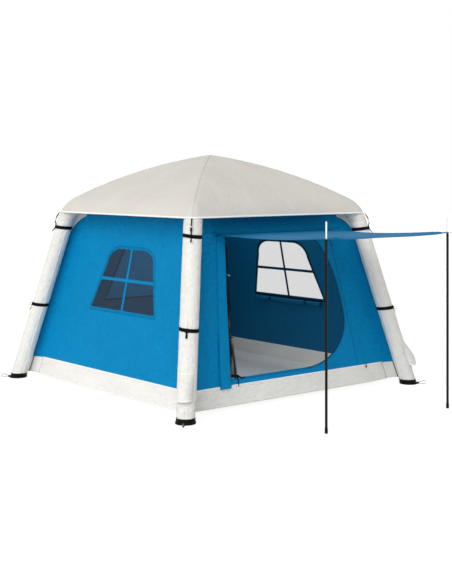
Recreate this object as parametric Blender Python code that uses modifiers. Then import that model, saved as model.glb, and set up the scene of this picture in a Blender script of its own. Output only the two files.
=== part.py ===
"""Inflatable tent: two crossing air beams in sleeves, four leaning walls, a bathtub ground sheet,
a roof fly over a mesh ceiling, and a door panel held out on two poles as an awning.

Metres, +Z up. The origin is on the ground at the middle of the floor, and the door faces -Y.
"""
from math import acos, asin, atan, atan2, cos, pi, radians, sin, sqrt, tan

import bmesh
import bpy
from mathutils import Matrix, Vector

# Air beams and their sleeves
LEG_REACH = 1.40            # from the middle to a leg's axis at the ground, along X and along Y
LEAN = 0.2194               # how far legs and walls lean in per unit of height
SLEEVE_RADIUS = 0.084
FOOT_RADIUS = 0.078         # of a sleeve at the ground, which widens up to the taper's end
TAPER_HEIGHT = 0.200
SLEEVE_WALL = 0.0015
BEAM_SLACK = 0.0009         # between a beam and the sleeve round it
APEX_HEIGHT = 2.182         # of the beams' axis where they cross
EAVES_HEIGHT = 1.596        # of a leg's axis where it starts to bend
RAFTER_RADIUS = 4.60        # of the rafter's long arc
BEND_RADIUS = 0.28          # where a leg turns into a rafter
LEG_SEAM_DROP = 0.076       # from the bend down to the seam of the leg sleeve and the rafter sleeve
RAFTER_END = 0.125          # where a rafter sleeve stops short of the crossing
NIP_REACH = 0.055           # stretch over which the crossing beams are nipped
NIP_RADIUS = 0.038
NIP_GAP = 0.004             # between the two nipped beams
BEAM_SIDES = 16
BEND_STEPS = 5
RAFTER_STEPS = 7

# Gaps
TOUCH = 0.0003              # between pieces that touch
CORNER_GAP = 0.0006         # between the ends of two walls
OVERRUN = 0.01              # of a cutter past what it cuts

# Walls and ground sheet
WALL_INSET = 0.138          # from a leg's axis in to a wall's outer face
WALL_THICKNESS = 0.003
WALL_RISE = 0.102           # of the walls' top above the eaves
WALL_CORNER_RADIUS = 0.06   # of a wall's top corners
WEB_THICKNESS = 0.002       # of the webs that join the wall corners to the legs
SKIRT_HEIGHT = 0.205        # of the ground sheet's upper edge, where the walls are sewn on
SKIRT_FOOT = 0.045          # height at which the skirt turns into the floor
FLOOR_INSET = 0.162         # from a wall's foot in to where the floor leaves the ground
SHEET_THICKNESS = 0.003

# Windows in the left, right and back walls
WINDOW_BOTTOM = 0.783
WINDOW_BAR_HEIGHT = 1.066
WINDOW_TOP = 1.357
WINDOW_HALF_BOTTOM = 0.520  # half widths at the bottom, at the cross bar and of the flat top
WINDOW_HALF_BAR = 0.425
WINDOW_HALF_TOP = 0.19
WINDOW_BAR = 0.028
WINDOW_ROUND = 0.035        # of the panes' corners
MESH_THICKNESS = 0.001
MESH_MARGIN = 0.018         # of the mesh past the window all round
BLIND_RADIUS = 0.027
BLIND_HALF_LENGTH = 0.50
BLIND_DROP = 0.045          # of the rolled blind's axis below the window

# Doorway in the front wall
DOOR_SILL = 0.269
DOOR_DROP = 0.134           # of the header below the eaves
DOOR_LEFT_TOP = 0.590       # half widths left and right of the middle
DOOR_LEFT_BOTTOM = 0.745
DOOR_RIGHT_SILL = 0.20      # where the sill starts to curve up
DOOR_RIGHT = 0.772          # the widest point and its height
DOOR_RIGHT_HEIGHT = 0.70
DOOR_RIGHT_TOP = 0.40       # where the right side meets the header

# Storm flap, zips and the rolled mesh door
FLAP_DROP = 0.006           # of the flap's top below the awning's seam
FLAP_LAP = 0.001            # over the doorway's left edge
FLAP_WIDTH = 0.105
FLAP_THICKNESS = 0.003
ZIP_RIGHT_TOP = 0.753       # of the right zip at the header's height and at the skirt's
ZIP_RIGHT_BOTTOM = 0.873
SLIDER_WIDTH = 0.012
SLIDER_LENGTH = 0.030
SLIDER_THICKNESS = 0.0040
SLIDER_HEIGHT = 1.40        # where the open sliders rest
ROLL_RADIUS = 0.033
ROLL_WAIST_RADIUS = 0.024   # where the ties draw it in
ROLL_FOOT_RADIUS = 0.047    # where it gathers at the bottom
ROLL_TOP = 1.43
ROLL_BOTTOM = 0.30

# Awning and its poles
SEAM_DROP = 0.096           # of the awning's seam below the eaves
SEAM_HALF_WIDTH = 0.735
AWNING_GAP = 0.0009         # from the wall to the awning's sewn edge
AWNING_THICKNESS = 0.002
AWNING_MARGIN = 0.030       # past the eyelets
AWNING_SAG = 0.022
POLE_X = 0.757
POLE_Y = -2.408
POLE_RADIUS = 0.011
POLE_WALL = 0.001
POLE_HEIGHT = 1.5535        # of the tube
SPIKE_RADIUS = 0.007
SPIKE_LENGTH = 0.1435       # above the tube
SPIKE_ROUND = 0.004
SHOULDER_HEIGHT = 0.006     # of the cone that carries the awning's eyelet
PLUG_LENGTH = 0.045         # of the spike inside the tube
EYELET_CLEARANCE = 0.0009
POLE_SIDES = 16

# Straps and roof ties
UPPER_STRAP_DROP = 0.061    # of the upper strap below the eaves
LOWER_STRAP_HEIGHT = 0.751
STRAP_WIDTH = 0.026
STRAP_THICKNESS = 0.002
TIE_WIDTH = 0.018
TIE_THICKNESS = 0.003
TIE_TAIL = 0.16             # below the upper strap
BUCKLE_WIDTH = 0.034
BUCKLE_HEIGHT = 0.040
BUCKLE_WAIST = 0.022

# Roof fly and ceiling
HEM_RISE = 0.090            # of the fly's hem above the eaves
ROOF_CLEARANCE = 0.0009     # from the sleeves to the fly
ROOF_THICKNESS = 0.003
CEILING_THICKNESS = 0.0015

# Foot caps and the webbing loops for the pegs
FLANGE_RADIUS = 0.0885
FLANGE_HEIGHT = 0.016
RIM_RADIUS = 0.0830
CAP_HEIGHT = 0.046
CAP_SEAT = 0.010            # floor of the cup in which the leg stands
EAR_LENGTH = 0.014          # of the two ears that hold the loop's pin, past the flange
EAR_THICKNESS = 0.004
PIN_RADIUS = 0.003
PIN_HEIGHT = 0.008
PIN_CLEARANCE = 0.0006      # from the pin to the loop
LOOP_WIDTH = 0.011
LOOP_THICKNESS = 0.0016
LOOP_LENGTH = 0.076         # from the pin to the loop's far end
LOOP_HEIGHT = 0.032
LOOP_STEPS = 8

# Valves and their hoods on the two front legs
VALVE_HEIGHT = 0.290
VALVE_NECK_RADIUS = 0.018
VALVE_DEPTH = 0.016         # of the neck inside the sleeve
VALVE_FLANGE_RADIUS = 0.024
VALVE_FLANGE_THICKNESS = 0.003
VALVE_OUT = 0.010           # of the neck outside the flange
VALVE_CAP_RADIUS = 0.021
VALVE_CAP_THICKNESS = 0.008
HOOD_TOP = 0.410
HOOD_BOTTOM = 0.185
HOOD_HALF_ANGLE = 48.0      # degrees round the leg
HOOD_STAND_OFF = 0.062      # at its fullest
HOOD_THICKNESS = 0.002
HOOD_GAP = 0.001            # from the sleeve to the hood
HOOD_SIDE_RISE = 0.006      # how much higher the hood's lower edge is at its sides
HOOD_SWELL_POWER = 0.85     # how early the hood swells
HOOD_SWELL_TURN = 130.0     # degrees of a sine from its top to its lower edge

# Shares of neighbouring sizes
ROLL_WAIST_SHARES = (0.24, 0.72)
ROLL_EDGE_SHARES = (0.60, 0.90)  # of its radius by which the roll lies past the doorway's edge, top and bottom
HEM_SAG_SHARE = 0.5         # of the awning's sag at its outer hem
BELLY_SAG_SHARE = 2.0       # of the awning's sag halfway out, before the quarter that its curve leaves

CORNERS = {"front_left": (-1, -1), "front_right": (1, -1), "back_left": (-1, 1), "back_right": (1, 1)}
WALL_TURNS = {"front": 0.0, "right": 0.5 * pi, "back": pi, "left": -0.5 * pi}

# Finishes: linear red, green, blue, then roughness and metallic
ROOF_CLOTH = (0.62, 0.60, 0.56, 0.75, 0.0)
BLUE_CLOTH = (0.005, 0.22, 0.52, 0.70, 0.0)
WHITE_CLOTH = (0.82, 0.84, 0.80, 0.65, 0.0)
SHEET_CLOTH = (0.74, 0.76, 0.74, 0.55, 0.0)
DARK_MESH = (0.025, 0.045, 0.062, 0.85, 0.0)
BLACK_WEBBING = (0.012, 0.012, 0.013, 0.80, 0.0)
BLACK_PLASTIC = (0.010, 0.010, 0.011, 0.45, 0.0)
BLACK_STEEL = (0.016, 0.016, 0.017, 0.35, 0.8)
BRIGHT_STEEL = (0.70, 0.72, 0.74, 0.30, 1.0)
BEAM_FILM = (0.55, 0.60, 0.62, 0.30, 0.0)

DIAGONAL = sqrt(2)
LEG_TILT = atan(LEAN * DIAGONAL)
WALL_TILT = atan(LEAN)

# Widths that follow the legs, and heights that follow the eaves
WALL_REACH = LEG_REACH - WALL_INSET
FLOOR_REACH = WALL_REACH - FLOOR_INSET
LEG_SEAM_HEIGHT = EAVES_HEIGHT - LEG_SEAM_DROP
WALL_TOP = EAVES_HEIGHT + WALL_RISE
HEM_HEIGHT = EAVES_HEIGHT + HEM_RISE
UPPER_STRAP_HEIGHT = EAVES_HEIGHT - UPPER_STRAP_DROP
DOOR_TOP = EAVES_HEIGHT - DOOR_DROP
SEAM_HEIGHT = EAVES_HEIGHT - SEAM_DROP
FLAP_TOP = SEAM_HEIGHT - FLAP_DROP


def collection(name):
    found = bpy.data.collections.new(name)
    bpy.context.scene.collection.children.link(found)
    return found


def clear_scene():
    for old in list(bpy.data.objects):
        bpy.data.objects.remove(old, do_unlink=True)


clear_scene()
TENT = collection("inflatable_tent")
CUTTERS = collection("cutters")


def finish(obj, values):
    """Gives the object a material of its own."""
    material = bpy.data.materials.new(obj.name + "_finish")
    material.use_nodes = True
    shader = material.node_tree.nodes["Principled BSDF"]
    shader.inputs["Base Color"].default_value = (values[0], values[1], values[2], 1.0)
    shader.inputs["Roughness"].default_value = values[3]
    shader.inputs["Metallic"].default_value = values[4]
    obj.data.materials.append(material)


def part(name, bm, values, smooth=True):
    """Turns a bmesh into a named piece of the tent."""
    mesh = bpy.data.meshes.new(name)
    bmesh.ops.recalc_face_normals(bm, faces=bm.faces)
    bm.to_mesh(mesh)
    bm.free()
    obj = bpy.data.objects.new(name, mesh)
    TENT.objects.link(obj)
    if smooth:
        mesh.shade_smooth()
        mesh.set_sharp_from_angle(angle=radians(35))
    finish(obj, values)
    return obj


def helper(name, bm):
    """Turns a bmesh into a tool for a Boolean."""
    mesh = bpy.data.meshes.new(name)
    bmesh.ops.recalc_face_normals(bm, faces=bm.faces)
    bm.to_mesh(mesh)
    bm.free()
    obj = bpy.data.objects.new(name, mesh)
    CUTTERS.objects.link(obj)
    obj.hide_render = True
    obj.display_type = "WIRE"
    return obj


def boolean(obj, tool, operation):
    modifier = obj.modifiers.new(tool.name, "BOOLEAN")
    modifier.object = tool
    modifier.operation = operation
    modifier.solver = "EXACT"


def solidify(obj, thickness, offset):
    """Thickens an open surface: offset 1 grows it outwards and -1 inwards."""
    modifier = obj.modifiers.new("cloth", "SOLIDIFY")
    modifier.thickness = thickness
    modifier.offset = offset
    modifier.use_even_offset = True


def origin_at(obj, point):
    """Moves the object's origin to a point without moving its shape."""
    obj.data.transform(Matrix.Translation(-Vector(point)))
    obj.location = point


def box(size, centre):
    bm = bmesh.new()
    bmesh.ops.create_cube(bm, size=1)
    bmesh.ops.scale(bm, vec=size, verts=bm.verts)
    bmesh.ops.translate(bm, vec=centre, verts=bm.verts)
    return bm


def cylinder(radius, depth, matrix, sides=BEAM_SIDES, caps=True):
    """A cylinder along the matrix's Z axis, centred on its origin."""
    bm = bmesh.new()
    bmesh.ops.create_cone(bm, segments=sides, radius1=radius, radius2=radius, depth=depth,
                          cap_ends=caps, matrix=matrix)
    return bm


def turned(profile, sides=BEAM_SIDES):
    """Spins an outline of (radius, height) points round Z. Its ends lie on the axis or meet."""
    bm = bmesh.new()
    verts = [bm.verts.new((radius, 0, height)) for radius, height in profile]
    edges = [bm.edges.new(pair) for pair in zip(verts, verts[1:])]
    bmesh.ops.spin(bm, geom=verts + edges, cent=(0, 0, 0), axis=(0, 0, 1), dvec=(0, 0, 0),
                   angle=2 * pi, steps=sides, use_merge=True)
    bmesh.ops.remove_doubles(bm, verts=bm.verts, dist=TOUCH / 10)
    return bm


def outline(name, splines, thickness, frame, values):
    """A flat piece: closed outlines in the frame's XY plane, thickened along its Z from 0 up."""
    curve = bpy.data.curves.new(name, "CURVE")
    curve.dimensions = "2D"
    curve.fill_mode = "BOTH"
    curve.extrude = thickness / 2
    for points in splines:
        spline = curve.splines.new("POLY")
        spline.points.add(len(points) - 1)
        for target, (x, y) in zip(spline.points, points):
            target.co = (x, y, 0, 1)
        spline.use_cyclic_u = True
    obj = bpy.data.objects.new(name, curve)
    TENT.objects.link(obj)
    obj.matrix_world = frame @ Matrix.Translation((0, 0, thickness / 2))
    finish(obj, values)
    return obj


def tube(name, points, radii, values, cyclic=False, resolution=2):
    """A round rod along points, with a radius at each."""
    curve = bpy.data.curves.new(name, "CURVE")
    curve.dimensions = "3D"
    curve.bevel_depth = 1
    curve.bevel_resolution = resolution
    curve.use_fill_caps = not cyclic
    spline = curve.splines.new("POLY")
    spline.points.add(len(points) - 1)
    for target, point, radius in zip(spline.points, points, radii):
        target.co = (*point, 1)
        target.radius = radius
    spline.use_cyclic_u = cyclic
    obj = bpy.data.objects.new(name, curve)
    TENT.objects.link(obj)
    finish(obj, values)
    return obj


def rounded(points, radius, steps=4):
    """Rounds each corner of a closed outline with an arc of the given radius."""
    result = []
    count = len(points)
    for index, corner in enumerate(points):
        corner = Vector(corner)
        before = (Vector(points[index - 1]) - corner).normalized()
        after = (Vector(points[(index + 1) % count]) - corner).normalized()
        half = before.angle(after) / 2
        middle = (before + after).normalized()
        centre = corner + middle * (radius / sin(half))
        start = corner + before * (radius / sin(half) * cos(half)) - centre
        sweep = (pi - 2 * half) * (1 if before.cross(after) < 0 else -1)
        for step in range(steps + 1):
            turn = Matrix.Rotation(sweep * step / steps, 2)
            result.append(tuple(centre + turn @ start))
    return result


def leaning_frame(turn, reach, tilt):
    """A frame on a leaning face: X level, Y up the slope, Z outwards, origin at ground height."""
    outwards = Matrix.Rotation(turn, 4, "Z") @ Vector((0, -reach, 0))
    return Matrix.Translation(outwards) @ Matrix.Rotation(turn, 4, "Z") @ Matrix.Rotation(pi / 2 - tilt, 4, "X")


def wall_half(height):
    """Half the body's width at a height, to the walls' outer faces."""
    return WALL_REACH - LEAN * height


def up_wall(height):
    """The distance up a wall's slope that reaches a height."""
    return height / cos(WALL_TILT)


def on_wall(points):
    return [(x, up_wall(z)) for x, z in points]


def corner_frame(signs):
    """A sheared frame round a leg: X outwards along the diagonal, Z up along the leaning leg."""
    shear = Matrix.Identity(4)
    shear[0][2] = -LEAN * DIAGONAL
    foot = Vector((signs[0] * LEG_REACH, signs[1] * LEG_REACH, 0))
    return Matrix.Translation(foot) @ Matrix.Rotation(atan2(signs[1], signs[0]), 4, "Z") @ shear


def upright_frame(signs):
    """The same frame without its lean, for what stands on the ground."""
    foot = Vector((signs[0] * LEG_REACH, signs[1] * LEG_REACH, 0))
    return Matrix.Translation(foot) @ Matrix.Rotation(atan2(signs[1], signs[0]), 4, "Z")


# The beams' route in the diagonal plane: (distance from the middle, height, slope of the ring's axis)

def bend_centre():
    """The centre of the arc in which a leg bends at the eaves."""
    distance, height, _ = leg_station(EAVES_HEIGHT)
    return Vector((distance, height)) - BEND_RADIUS * Vector((cos(LEG_TILT), sin(LEG_TILT)))


def arc_centre():
    """The centre of the long arc that leaves the bend smoothly and passes through the apex."""
    apex = Vector((0, APEX_HEIGHT))
    chord = bend_centre() - apex
    inner = RAFTER_RADIUS - BEND_RADIUS
    turn = acos((RAFTER_RADIUS ** 2 + chord.length_squared - inner ** 2) / (2 * RAFTER_RADIUS * chord.length))
    return apex + Matrix.Rotation(-turn, 2) @ (RAFTER_RADIUS * chord.normalized())


def bend_slope():
    """The slope at which the rafter's arc runs into the bend."""
    reach = bend_centre() - arc_centre()
    return atan2(reach.x, reach.y)


def sleeve_radius(height):
    """The outer radius of a sleeve at a height."""
    return FOOT_RADIUS + (SLEEVE_RADIUS - FOOT_RADIUS) * min(1.0, height / TAPER_HEIGHT)


def leg_station(height):
    return ((LEG_REACH - LEAN * height) * DIAGONAL, height, pi / 2)


def bend_stations():
    slope, centre = bend_slope(), bend_centre()
    leg_slope = pi / 2 - LEG_TILT
    stations = []
    for step in range(BEND_STEPS + 1):
        share = step / BEND_STEPS
        angle = leg_slope + (slope - leg_slope) * share
        point = centre + BEND_RADIUS * Vector((sin(angle), cos(angle)))
        stations.append((point.x, point.y, angle + LEG_TILT * (1 - share)))
    return stations


def rafter_station(slope):
    point = arc_centre() + RAFTER_RADIUS * Vector((sin(slope), cos(slope)))
    return (point.x, point.y, slope)


def rafter_slope_at(distance):
    return asin((distance - arc_centre().x) / RAFTER_RADIUS)


def rafter_stations():
    """From just past the bend to where the sleeve stops."""
    first = bend_slope()
    last = rafter_slope_at(RAFTER_END)
    return [rafter_station(first + (last - first) * step / RAFTER_STEPS) for step in range(1, RAFTER_STEPS + 1)]


def ring_matrix(signs, station, rising=True):
    """Where a ring of the beam lies in space, its axis along the route."""
    distance, height, slope = station
    out = Vector((signs[0], signs[1], 0)).normalized()
    side = Vector((-out.y, out.x, 0))
    axis = -out * cos(slope) + Vector((0, 0, sin(slope) if rising else -sin(slope)))
    across = axis.cross(side)
    turn = Matrix((side, across, axis)).transposed().to_4x4()
    return Matrix.Translation(out * distance + Vector((0, 0, height))) @ turn


def loft(rings, caps=False):
    """Joins rings, each a matrix and a radius, into one tube."""
    bm = bmesh.new()
    previous = None
    for index, (matrix, radius) in enumerate(rings):
        ends = caps and index in (0, len(rings) - 1)
        circle = bmesh.ops.create_circle(bm, segments=BEAM_SIDES, radius=radius, matrix=matrix, cap_ends=ends)
        edges = list({edge for vert in circle["verts"] for edge in vert.link_edges})
        if previous:
            bmesh.ops.bridge_loops(bm, edges=previous + edges)
        previous = edges
    return bm


def square_loft(sizes, cap_first=False, cap_last=False):
    """Joins level squares, each half a side and a height, into one surface."""
    bm = bmesh.new()
    previous = None
    for index, (half, height) in enumerate(sizes):
        matrix = Matrix.Translation((0, 0, height)) @ Matrix.Rotation(pi / 4, 4, "Z")
        capped = (cap_first and index == 0) or (cap_last and index == len(sizes) - 1)
        ring = bmesh.ops.create_circle(bm, segments=4, radius=half * DIAGONAL, matrix=matrix, cap_ends=capped)
        edges = list({edge for vert in ring["verts"] for edge in vert.link_edges})
        if previous:
            bmesh.ops.bridge_loops(bm, edges=previous + edges)
        previous = edges
    return bm


def build_ground_sheet():
    """The floor lies on the ground and lifts near its edges to the foot of the upright skirt."""
    sizes = [(FLOOR_REACH, 0), (wall_half(SKIRT_FOOT), SKIRT_FOOT), (wall_half(SKIRT_HEIGHT), SKIRT_HEIGHT)]
    obj = part("ground_sheet", square_loft(sizes, cap_first=True), SHEET_CLOTH, smooth=False)
    if obj.data.polygons[0].normal.z > 0:
        obj.data.flip_normals()
    solidify(obj, SHEET_THICKNESS, -1)


def wall_outline():
    bottom = SKIRT_HEIGHT + SHEET_THICKNESS / 2
    inset = WALL_THICKNESS / cos(WALL_TILT) + CORNER_GAP
    low = wall_half(bottom) - inset
    high = wall_half(WALL_TOP) - inset
    shape = on_wall([(-low, bottom), (low, bottom), (high, WALL_TOP), (-high, WALL_TOP)])
    soft = rounded(shape, WALL_CORNER_RADIUS)
    arc = len(soft) // 4
    return shape[:2] + soft[2 * arc:]


def window_half(height):
    """Half the window's width along its straight sides."""
    share = (height - WINDOW_BOTTOM) / (WINDOW_BAR_HEIGHT - WINDOW_BOTTOM)
    return WINDOW_HALF_BOTTOM + (WINDOW_HALF_BAR - WINDOW_HALF_BOTTOM) * share


def arch(low, high, side, flat, steps=5):
    """The window's upper right side: a quarter oval from its straight side to its flat top."""
    return [(flat + (side - flat) * cos(pi / 2 * step / steps), low + (high - low) * sin(pi / 2 * step / steps))
            for step in range(steps + 1)]


def mirrored(points):
    return [(-x, z) for x, z in reversed(points)]


def window_panes():
    """Four panes between the bars, as outlines in width and height."""
    half = WINDOW_BAR / 2
    low_top = WINDOW_BAR_HEIGHT - half
    high_bottom = WINDOW_BAR_HEIGHT + half
    spring = (WINDOW_BAR_HEIGHT + WINDOW_TOP) / 2
    low = rounded([(half, WINDOW_BOTTOM), (WINDOW_HALF_BOTTOM, WINDOW_BOTTOM), (window_half(low_top), low_top),
                   (half, low_top)], WINDOW_ROUND)
    curve = arch(spring, WINDOW_TOP, window_half(spring), WINDOW_HALF_TOP)
    high = [(half, high_bottom), (window_half(high_bottom), high_bottom)] + curve + [(half, WINDOW_TOP)]
    return [on_wall(shape) for shape in (low, high, mirrored(low), mirrored(high))]


def window_cover():
    """The mesh's outline: the whole window and a margin for its seam."""
    spring = (WINDOW_BAR_HEIGHT + WINDOW_TOP) / 2
    bottom = WINDOW_BOTTOM - MESH_MARGIN
    right = [(WINDOW_HALF_BOTTOM + MESH_MARGIN, bottom)]
    right += arch(spring, WINDOW_TOP + MESH_MARGIN, window_half(spring) + MESH_MARGIN, WINDOW_HALF_TOP)
    return on_wall(right + mirrored(right))


def door_left(height):
    """The doorway's straight left side, as a distance left of the middle."""
    share = (height - DOOR_SILL) / (DOOR_TOP - DOOR_SILL)
    return DOOR_LEFT_BOTTOM + (DOOR_LEFT_TOP - DOOR_LEFT_BOTTOM) * share


def doorway():
    """A straight left side, and a right side that swells out from the sill to the header."""
    steps = 7
    lower = [(DOOR_RIGHT_SILL + (DOOR_RIGHT - DOOR_RIGHT_SILL) * sin(pi / 2 * step / steps),
              DOOR_RIGHT_HEIGHT - (DOOR_RIGHT_HEIGHT - DOOR_SILL) * cos(pi / 2 * step / steps))
             for step in range(steps + 1)]
    upper = [(DOOR_RIGHT_TOP + (DOOR_RIGHT - DOOR_RIGHT_TOP) * cos(pi / 2 * step / steps),
              DOOR_RIGHT_HEIGHT + (DOOR_TOP - DOOR_RIGHT_HEIGHT) * sin(pi / 2 * step / steps))
             for step in range(1, steps + 1)]
    left = [(-DOOR_LEFT_TOP, DOOR_TOP), (-DOOR_LEFT_BOTTOM, DOOR_SILL)]
    return on_wall(lower + upper + left)


def wall_frame(side):
    """On the wall's inner face, so that the cloth's outer face lies on the wall's plane."""
    return leaning_frame(WALL_TURNS[side], WALL_REACH, WALL_TILT) @ Matrix.Translation((0, 0, -WALL_THICKNESS))


def build_walls():
    outline("wall_front", [wall_outline(), doorway()], WALL_THICKNESS, wall_frame("front"), BLUE_CLOTH)
    for side in ("left", "right", "back"):
        outline("wall_" + side, [wall_outline()] + window_panes(), WALL_THICKNESS, wall_frame(side), BLUE_CLOTH)
        inside = wall_frame(side) @ Matrix.Translation((0, 0, -TOUCH - MESH_THICKNESS))
        outline("window_mesh_" + side, [window_cover()], MESH_THICKNESS, inside, DARK_MESH)
        if side == "back":
            closed = inside @ Matrix.Translation((0, 0, -TOUCH - MESH_THICKNESS))
            outline("window_blind_back", [window_cover()], MESH_THICKNESS, closed, BLUE_CLOTH)
        else:
            build_blind(side)


def build_blind(side):
    """A rolled blind under its window. The back window's blind is closed instead."""
    height = WINDOW_BOTTOM - BLIND_DROP
    depth = -TOUCH - BLIND_RADIUS
    seat = wall_frame(side) @ Matrix.Translation((0, up_wall(height), depth))
    along = seat @ Matrix.Rotation(pi / 2, 4, "Y")
    bm = cylinder(BLIND_RADIUS, 2 * BLIND_HALF_LENGTH, Matrix.Identity(4), sides=12)
    rims = [edge for edge in bm.edges if len(edge.link_faces) == 2 and edge.calc_face_angle() > pi / 3]
    bmesh.ops.bevel(bm, geom=rims, offset=BLIND_RADIUS / 4, segments=1, affect="EDGES")
    obj = part("window_blind_" + side, bm, BLUE_CLOTH)
    obj.matrix_world = along


def flap_right(height):
    """The storm flap's right edge, as a distance left of the middle."""
    return door_left(height) - FLAP_LAP


def front_face(offset=0):
    """The front wall's outer face, raised by an offset."""
    return leaning_frame(0, WALL_REACH, WALL_TILT) @ Matrix.Translation((0, 0, offset))


def slider_frame(sign):
    """Where an open slider rests: on the left zip, -1, along the storm flap, or on the right one, 1."""
    beside = FLAP_WIDTH + SLIDER_WIDTH
    top, bottom = flap_right(FLAP_TOP) + beside, flap_right(SKIRT_HEIGHT) + beside
    if sign > 0:
        top, bottom = ZIP_RIGHT_TOP, ZIP_RIGHT_BOTTOM
    offset = top + (bottom - top) * (FLAP_TOP - SLIDER_HEIGHT) / (FLAP_TOP - SKIRT_HEIGHT)
    tilt = atan((bottom - top) / (up_wall(FLAP_TOP) - up_wall(SKIRT_HEIGHT)))
    seat = Matrix.Translation((sign * offset, up_wall(SLIDER_HEIGHT), 0))
    return front_face(TOUCH) @ seat @ Matrix.Rotation(sign * tilt, 4, "Z")


def build_storm_flap():
    bottom = SKIRT_HEIGHT + SHEET_THICKNESS
    top = FLAP_TOP - TOUCH
    shape = [(-flap_right(bottom) - FLAP_WIDTH, bottom), (-flap_right(bottom), bottom),
             (-flap_right(top), top), (-flap_right(top) - FLAP_WIDTH, top)]
    outline("storm_flap", [on_wall(shape)], FLAP_THICKNESS, front_face(TOUCH), BLUE_CLOTH)


def build_zip_sliders():
    for name, sign in (("left", -1), ("right", 1)):
        bm = box((SLIDER_WIDTH, SLIDER_LENGTH, SLIDER_THICKNESS), (0, 0, SLIDER_THICKNESS / 2))
        upright = [edge for edge in bm.edges if abs(edge.verts[0].co.z - edge.verts[1].co.z) > SLIDER_THICKNESS / 2]
        bmesh.ops.bevel(bm, geom=upright, offset=SLIDER_WIDTH / 4, segments=2, affect="EDGES")
        obj = part("zip_slider_" + name, bm, BLACK_PLASTIC)
        obj.matrix_world = slider_frame(sign)


def build_mesh_door_roll():
    """The rolled door hangs inside the doorway's left edge, drawn in by two ties."""
    steps = 16
    points = []
    radii = []
    for step in range(steps + 1):
        share = step / steps
        height = ROLL_TOP + (ROLL_BOTTOM - ROLL_TOP) * share
        near = min(abs(share - waist) for waist in ROLL_WAIST_SHARES)
        drawn = max(0.0, 1 - near * steps / 2)
        foot = max(0.0, share - ROLL_WAIST_SHARES[-1]) / (1 - ROLL_WAIST_SHARES[-1])
        radius = ROLL_RADIUS + (ROLL_FOOT_RADIUS - ROLL_RADIUS) * foot + (ROLL_WAIST_RADIUS - ROLL_RADIUS) * drawn
        past_edge = radius * (ROLL_EDGE_SHARES[0] + (ROLL_EDGE_SHARES[1] - ROLL_EDGE_SHARES[0]) * share)
        depth = WALL_THICKNESS + sqrt((radius + TOUCH) ** 2 - past_edge ** 2)
        seat = front_face(-depth) @ Vector((past_edge - door_left(height), up_wall(height), 0))
        points.append(tuple(seat))
        radii.append(radius)
    tube("mesh_door_roll", points, radii, DARK_MESH, resolution=5)


def awning_point(across, out):
    """A point of the awning: across runs -1 to 1 and out runs from the seam, 0, to the outer hem, 1."""
    inner = -wall_half(SEAM_HEIGHT) - AWNING_GAP
    outer = POLE_Y - AWNING_MARGIN
    half = SEAM_HALF_WIDTH + (POLE_X + AWNING_MARGIN - SEAM_HALF_WIDTH) * out
    sag = AWNING_SAG * (1 - across ** 2) * out * (HEM_SAG_SHARE + BELLY_SAG_SHARE * (1 - out))
    rise = (POLE_HEIGHT + SHOULDER_HEIGHT + TOUCH - SEAM_HEIGHT) * out
    return Vector((half * across, inner + (outer - inner) * out, SEAM_HEIGHT + rise - sag))


def eyelet(sign):
    """Where a pole's spike passes the awning."""
    inner = -wall_half(SEAM_HEIGHT) - AWNING_GAP
    out = (POLE_Y - inner) / (POLE_Y - AWNING_MARGIN - inner)
    half = SEAM_HALF_WIDTH + (POLE_X + AWNING_MARGIN - SEAM_HALF_WIDTH) * out
    return Vector((sign * POLE_X, POLE_Y, awning_point(POLE_X / half, out).z + AWNING_THICKNESS / 2))


def build_awning():
    bm = bmesh.new()
    bmesh.ops.create_grid(bm, x_segments=10, y_segments=8, size=1)
    for vert in bm.verts:
        vert.co = awning_point(vert.co.x, (vert.co.y + 1) / 2)
    obj = part("awning", bm, BLUE_CLOTH)
    if sum((face.normal.z for face in obj.data.polygons)) < 0:
        obj.data.flip_normals()
    solidify(obj, AWNING_THICKNESS, 1)
    for name, sign in (("left", -1), ("right", 1)):
        hole = cylinder(SPIKE_RADIUS + EYELET_CLEARANCE, 2 * OVERRUN, Matrix.Translation(eyelet(sign)), POLE_SIDES)
        boolean(obj, helper("eyelet_" + name, hole), "DIFFERENCE")
    origin_at(obj, (0, -wall_half(SEAM_HEIGHT), SEAM_HEIGHT))


def build_poles():
    for name, sign in (("left", -1), ("right", 1)):
        hinge = eyelet(sign)
        foot = Vector((sign * POLE_X, POLE_Y, 0))
        bm = cylinder(POLE_RADIUS, POLE_HEIGHT, Matrix.Translation(foot + Vector((0, 0, POLE_HEIGHT / 2))),
                      POLE_SIDES, caps=False)
        pole = part("pole_tube_" + name, bm, BLACK_STEEL)
        solidify(pole, POLE_WALL, -1)
        origin_at(pole, hinge)
        plug = POLE_RADIUS - POLE_WALL - TOUCH
        seat = POLE_HEIGHT + TOUCH
        neck = eyelet(sign).z - AWNING_THICKNESS / 2 - 2 * TOUCH
        top = POLE_HEIGHT + SPIKE_LENGTH
        profile = [(0, top), (SPIKE_RADIUS - SPIKE_ROUND, top), (SPIKE_RADIUS, top - SPIKE_ROUND),
                   (SPIKE_RADIUS, neck), (POLE_RADIUS, seat), (plug, seat), (plug, seat - PLUG_LENGTH),
                   (0, seat - PLUG_LENGTH)]
        bm = turned(profile, POLE_SIDES)
        bmesh.ops.translate(bm, vec=foot, verts=bm.verts)
        spike = part("pole_spike_" + name, bm, BRIGHT_STEEL)
        origin_at(spike, hinge)


def valve_axis_frame(signs):
    """Y round the leg, Z square out of the leg's outer side at the valve's height."""
    out_x = SLEEVE_RADIUS - LEAN * DIAGONAL * VALVE_HEIGHT
    seat = Matrix.Translation((out_x, 0, VALVE_HEIGHT)) @ Matrix.Rotation(pi / 2 - LEG_TILT, 4, "Y")
    return upright_frame(signs) @ seat


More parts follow.
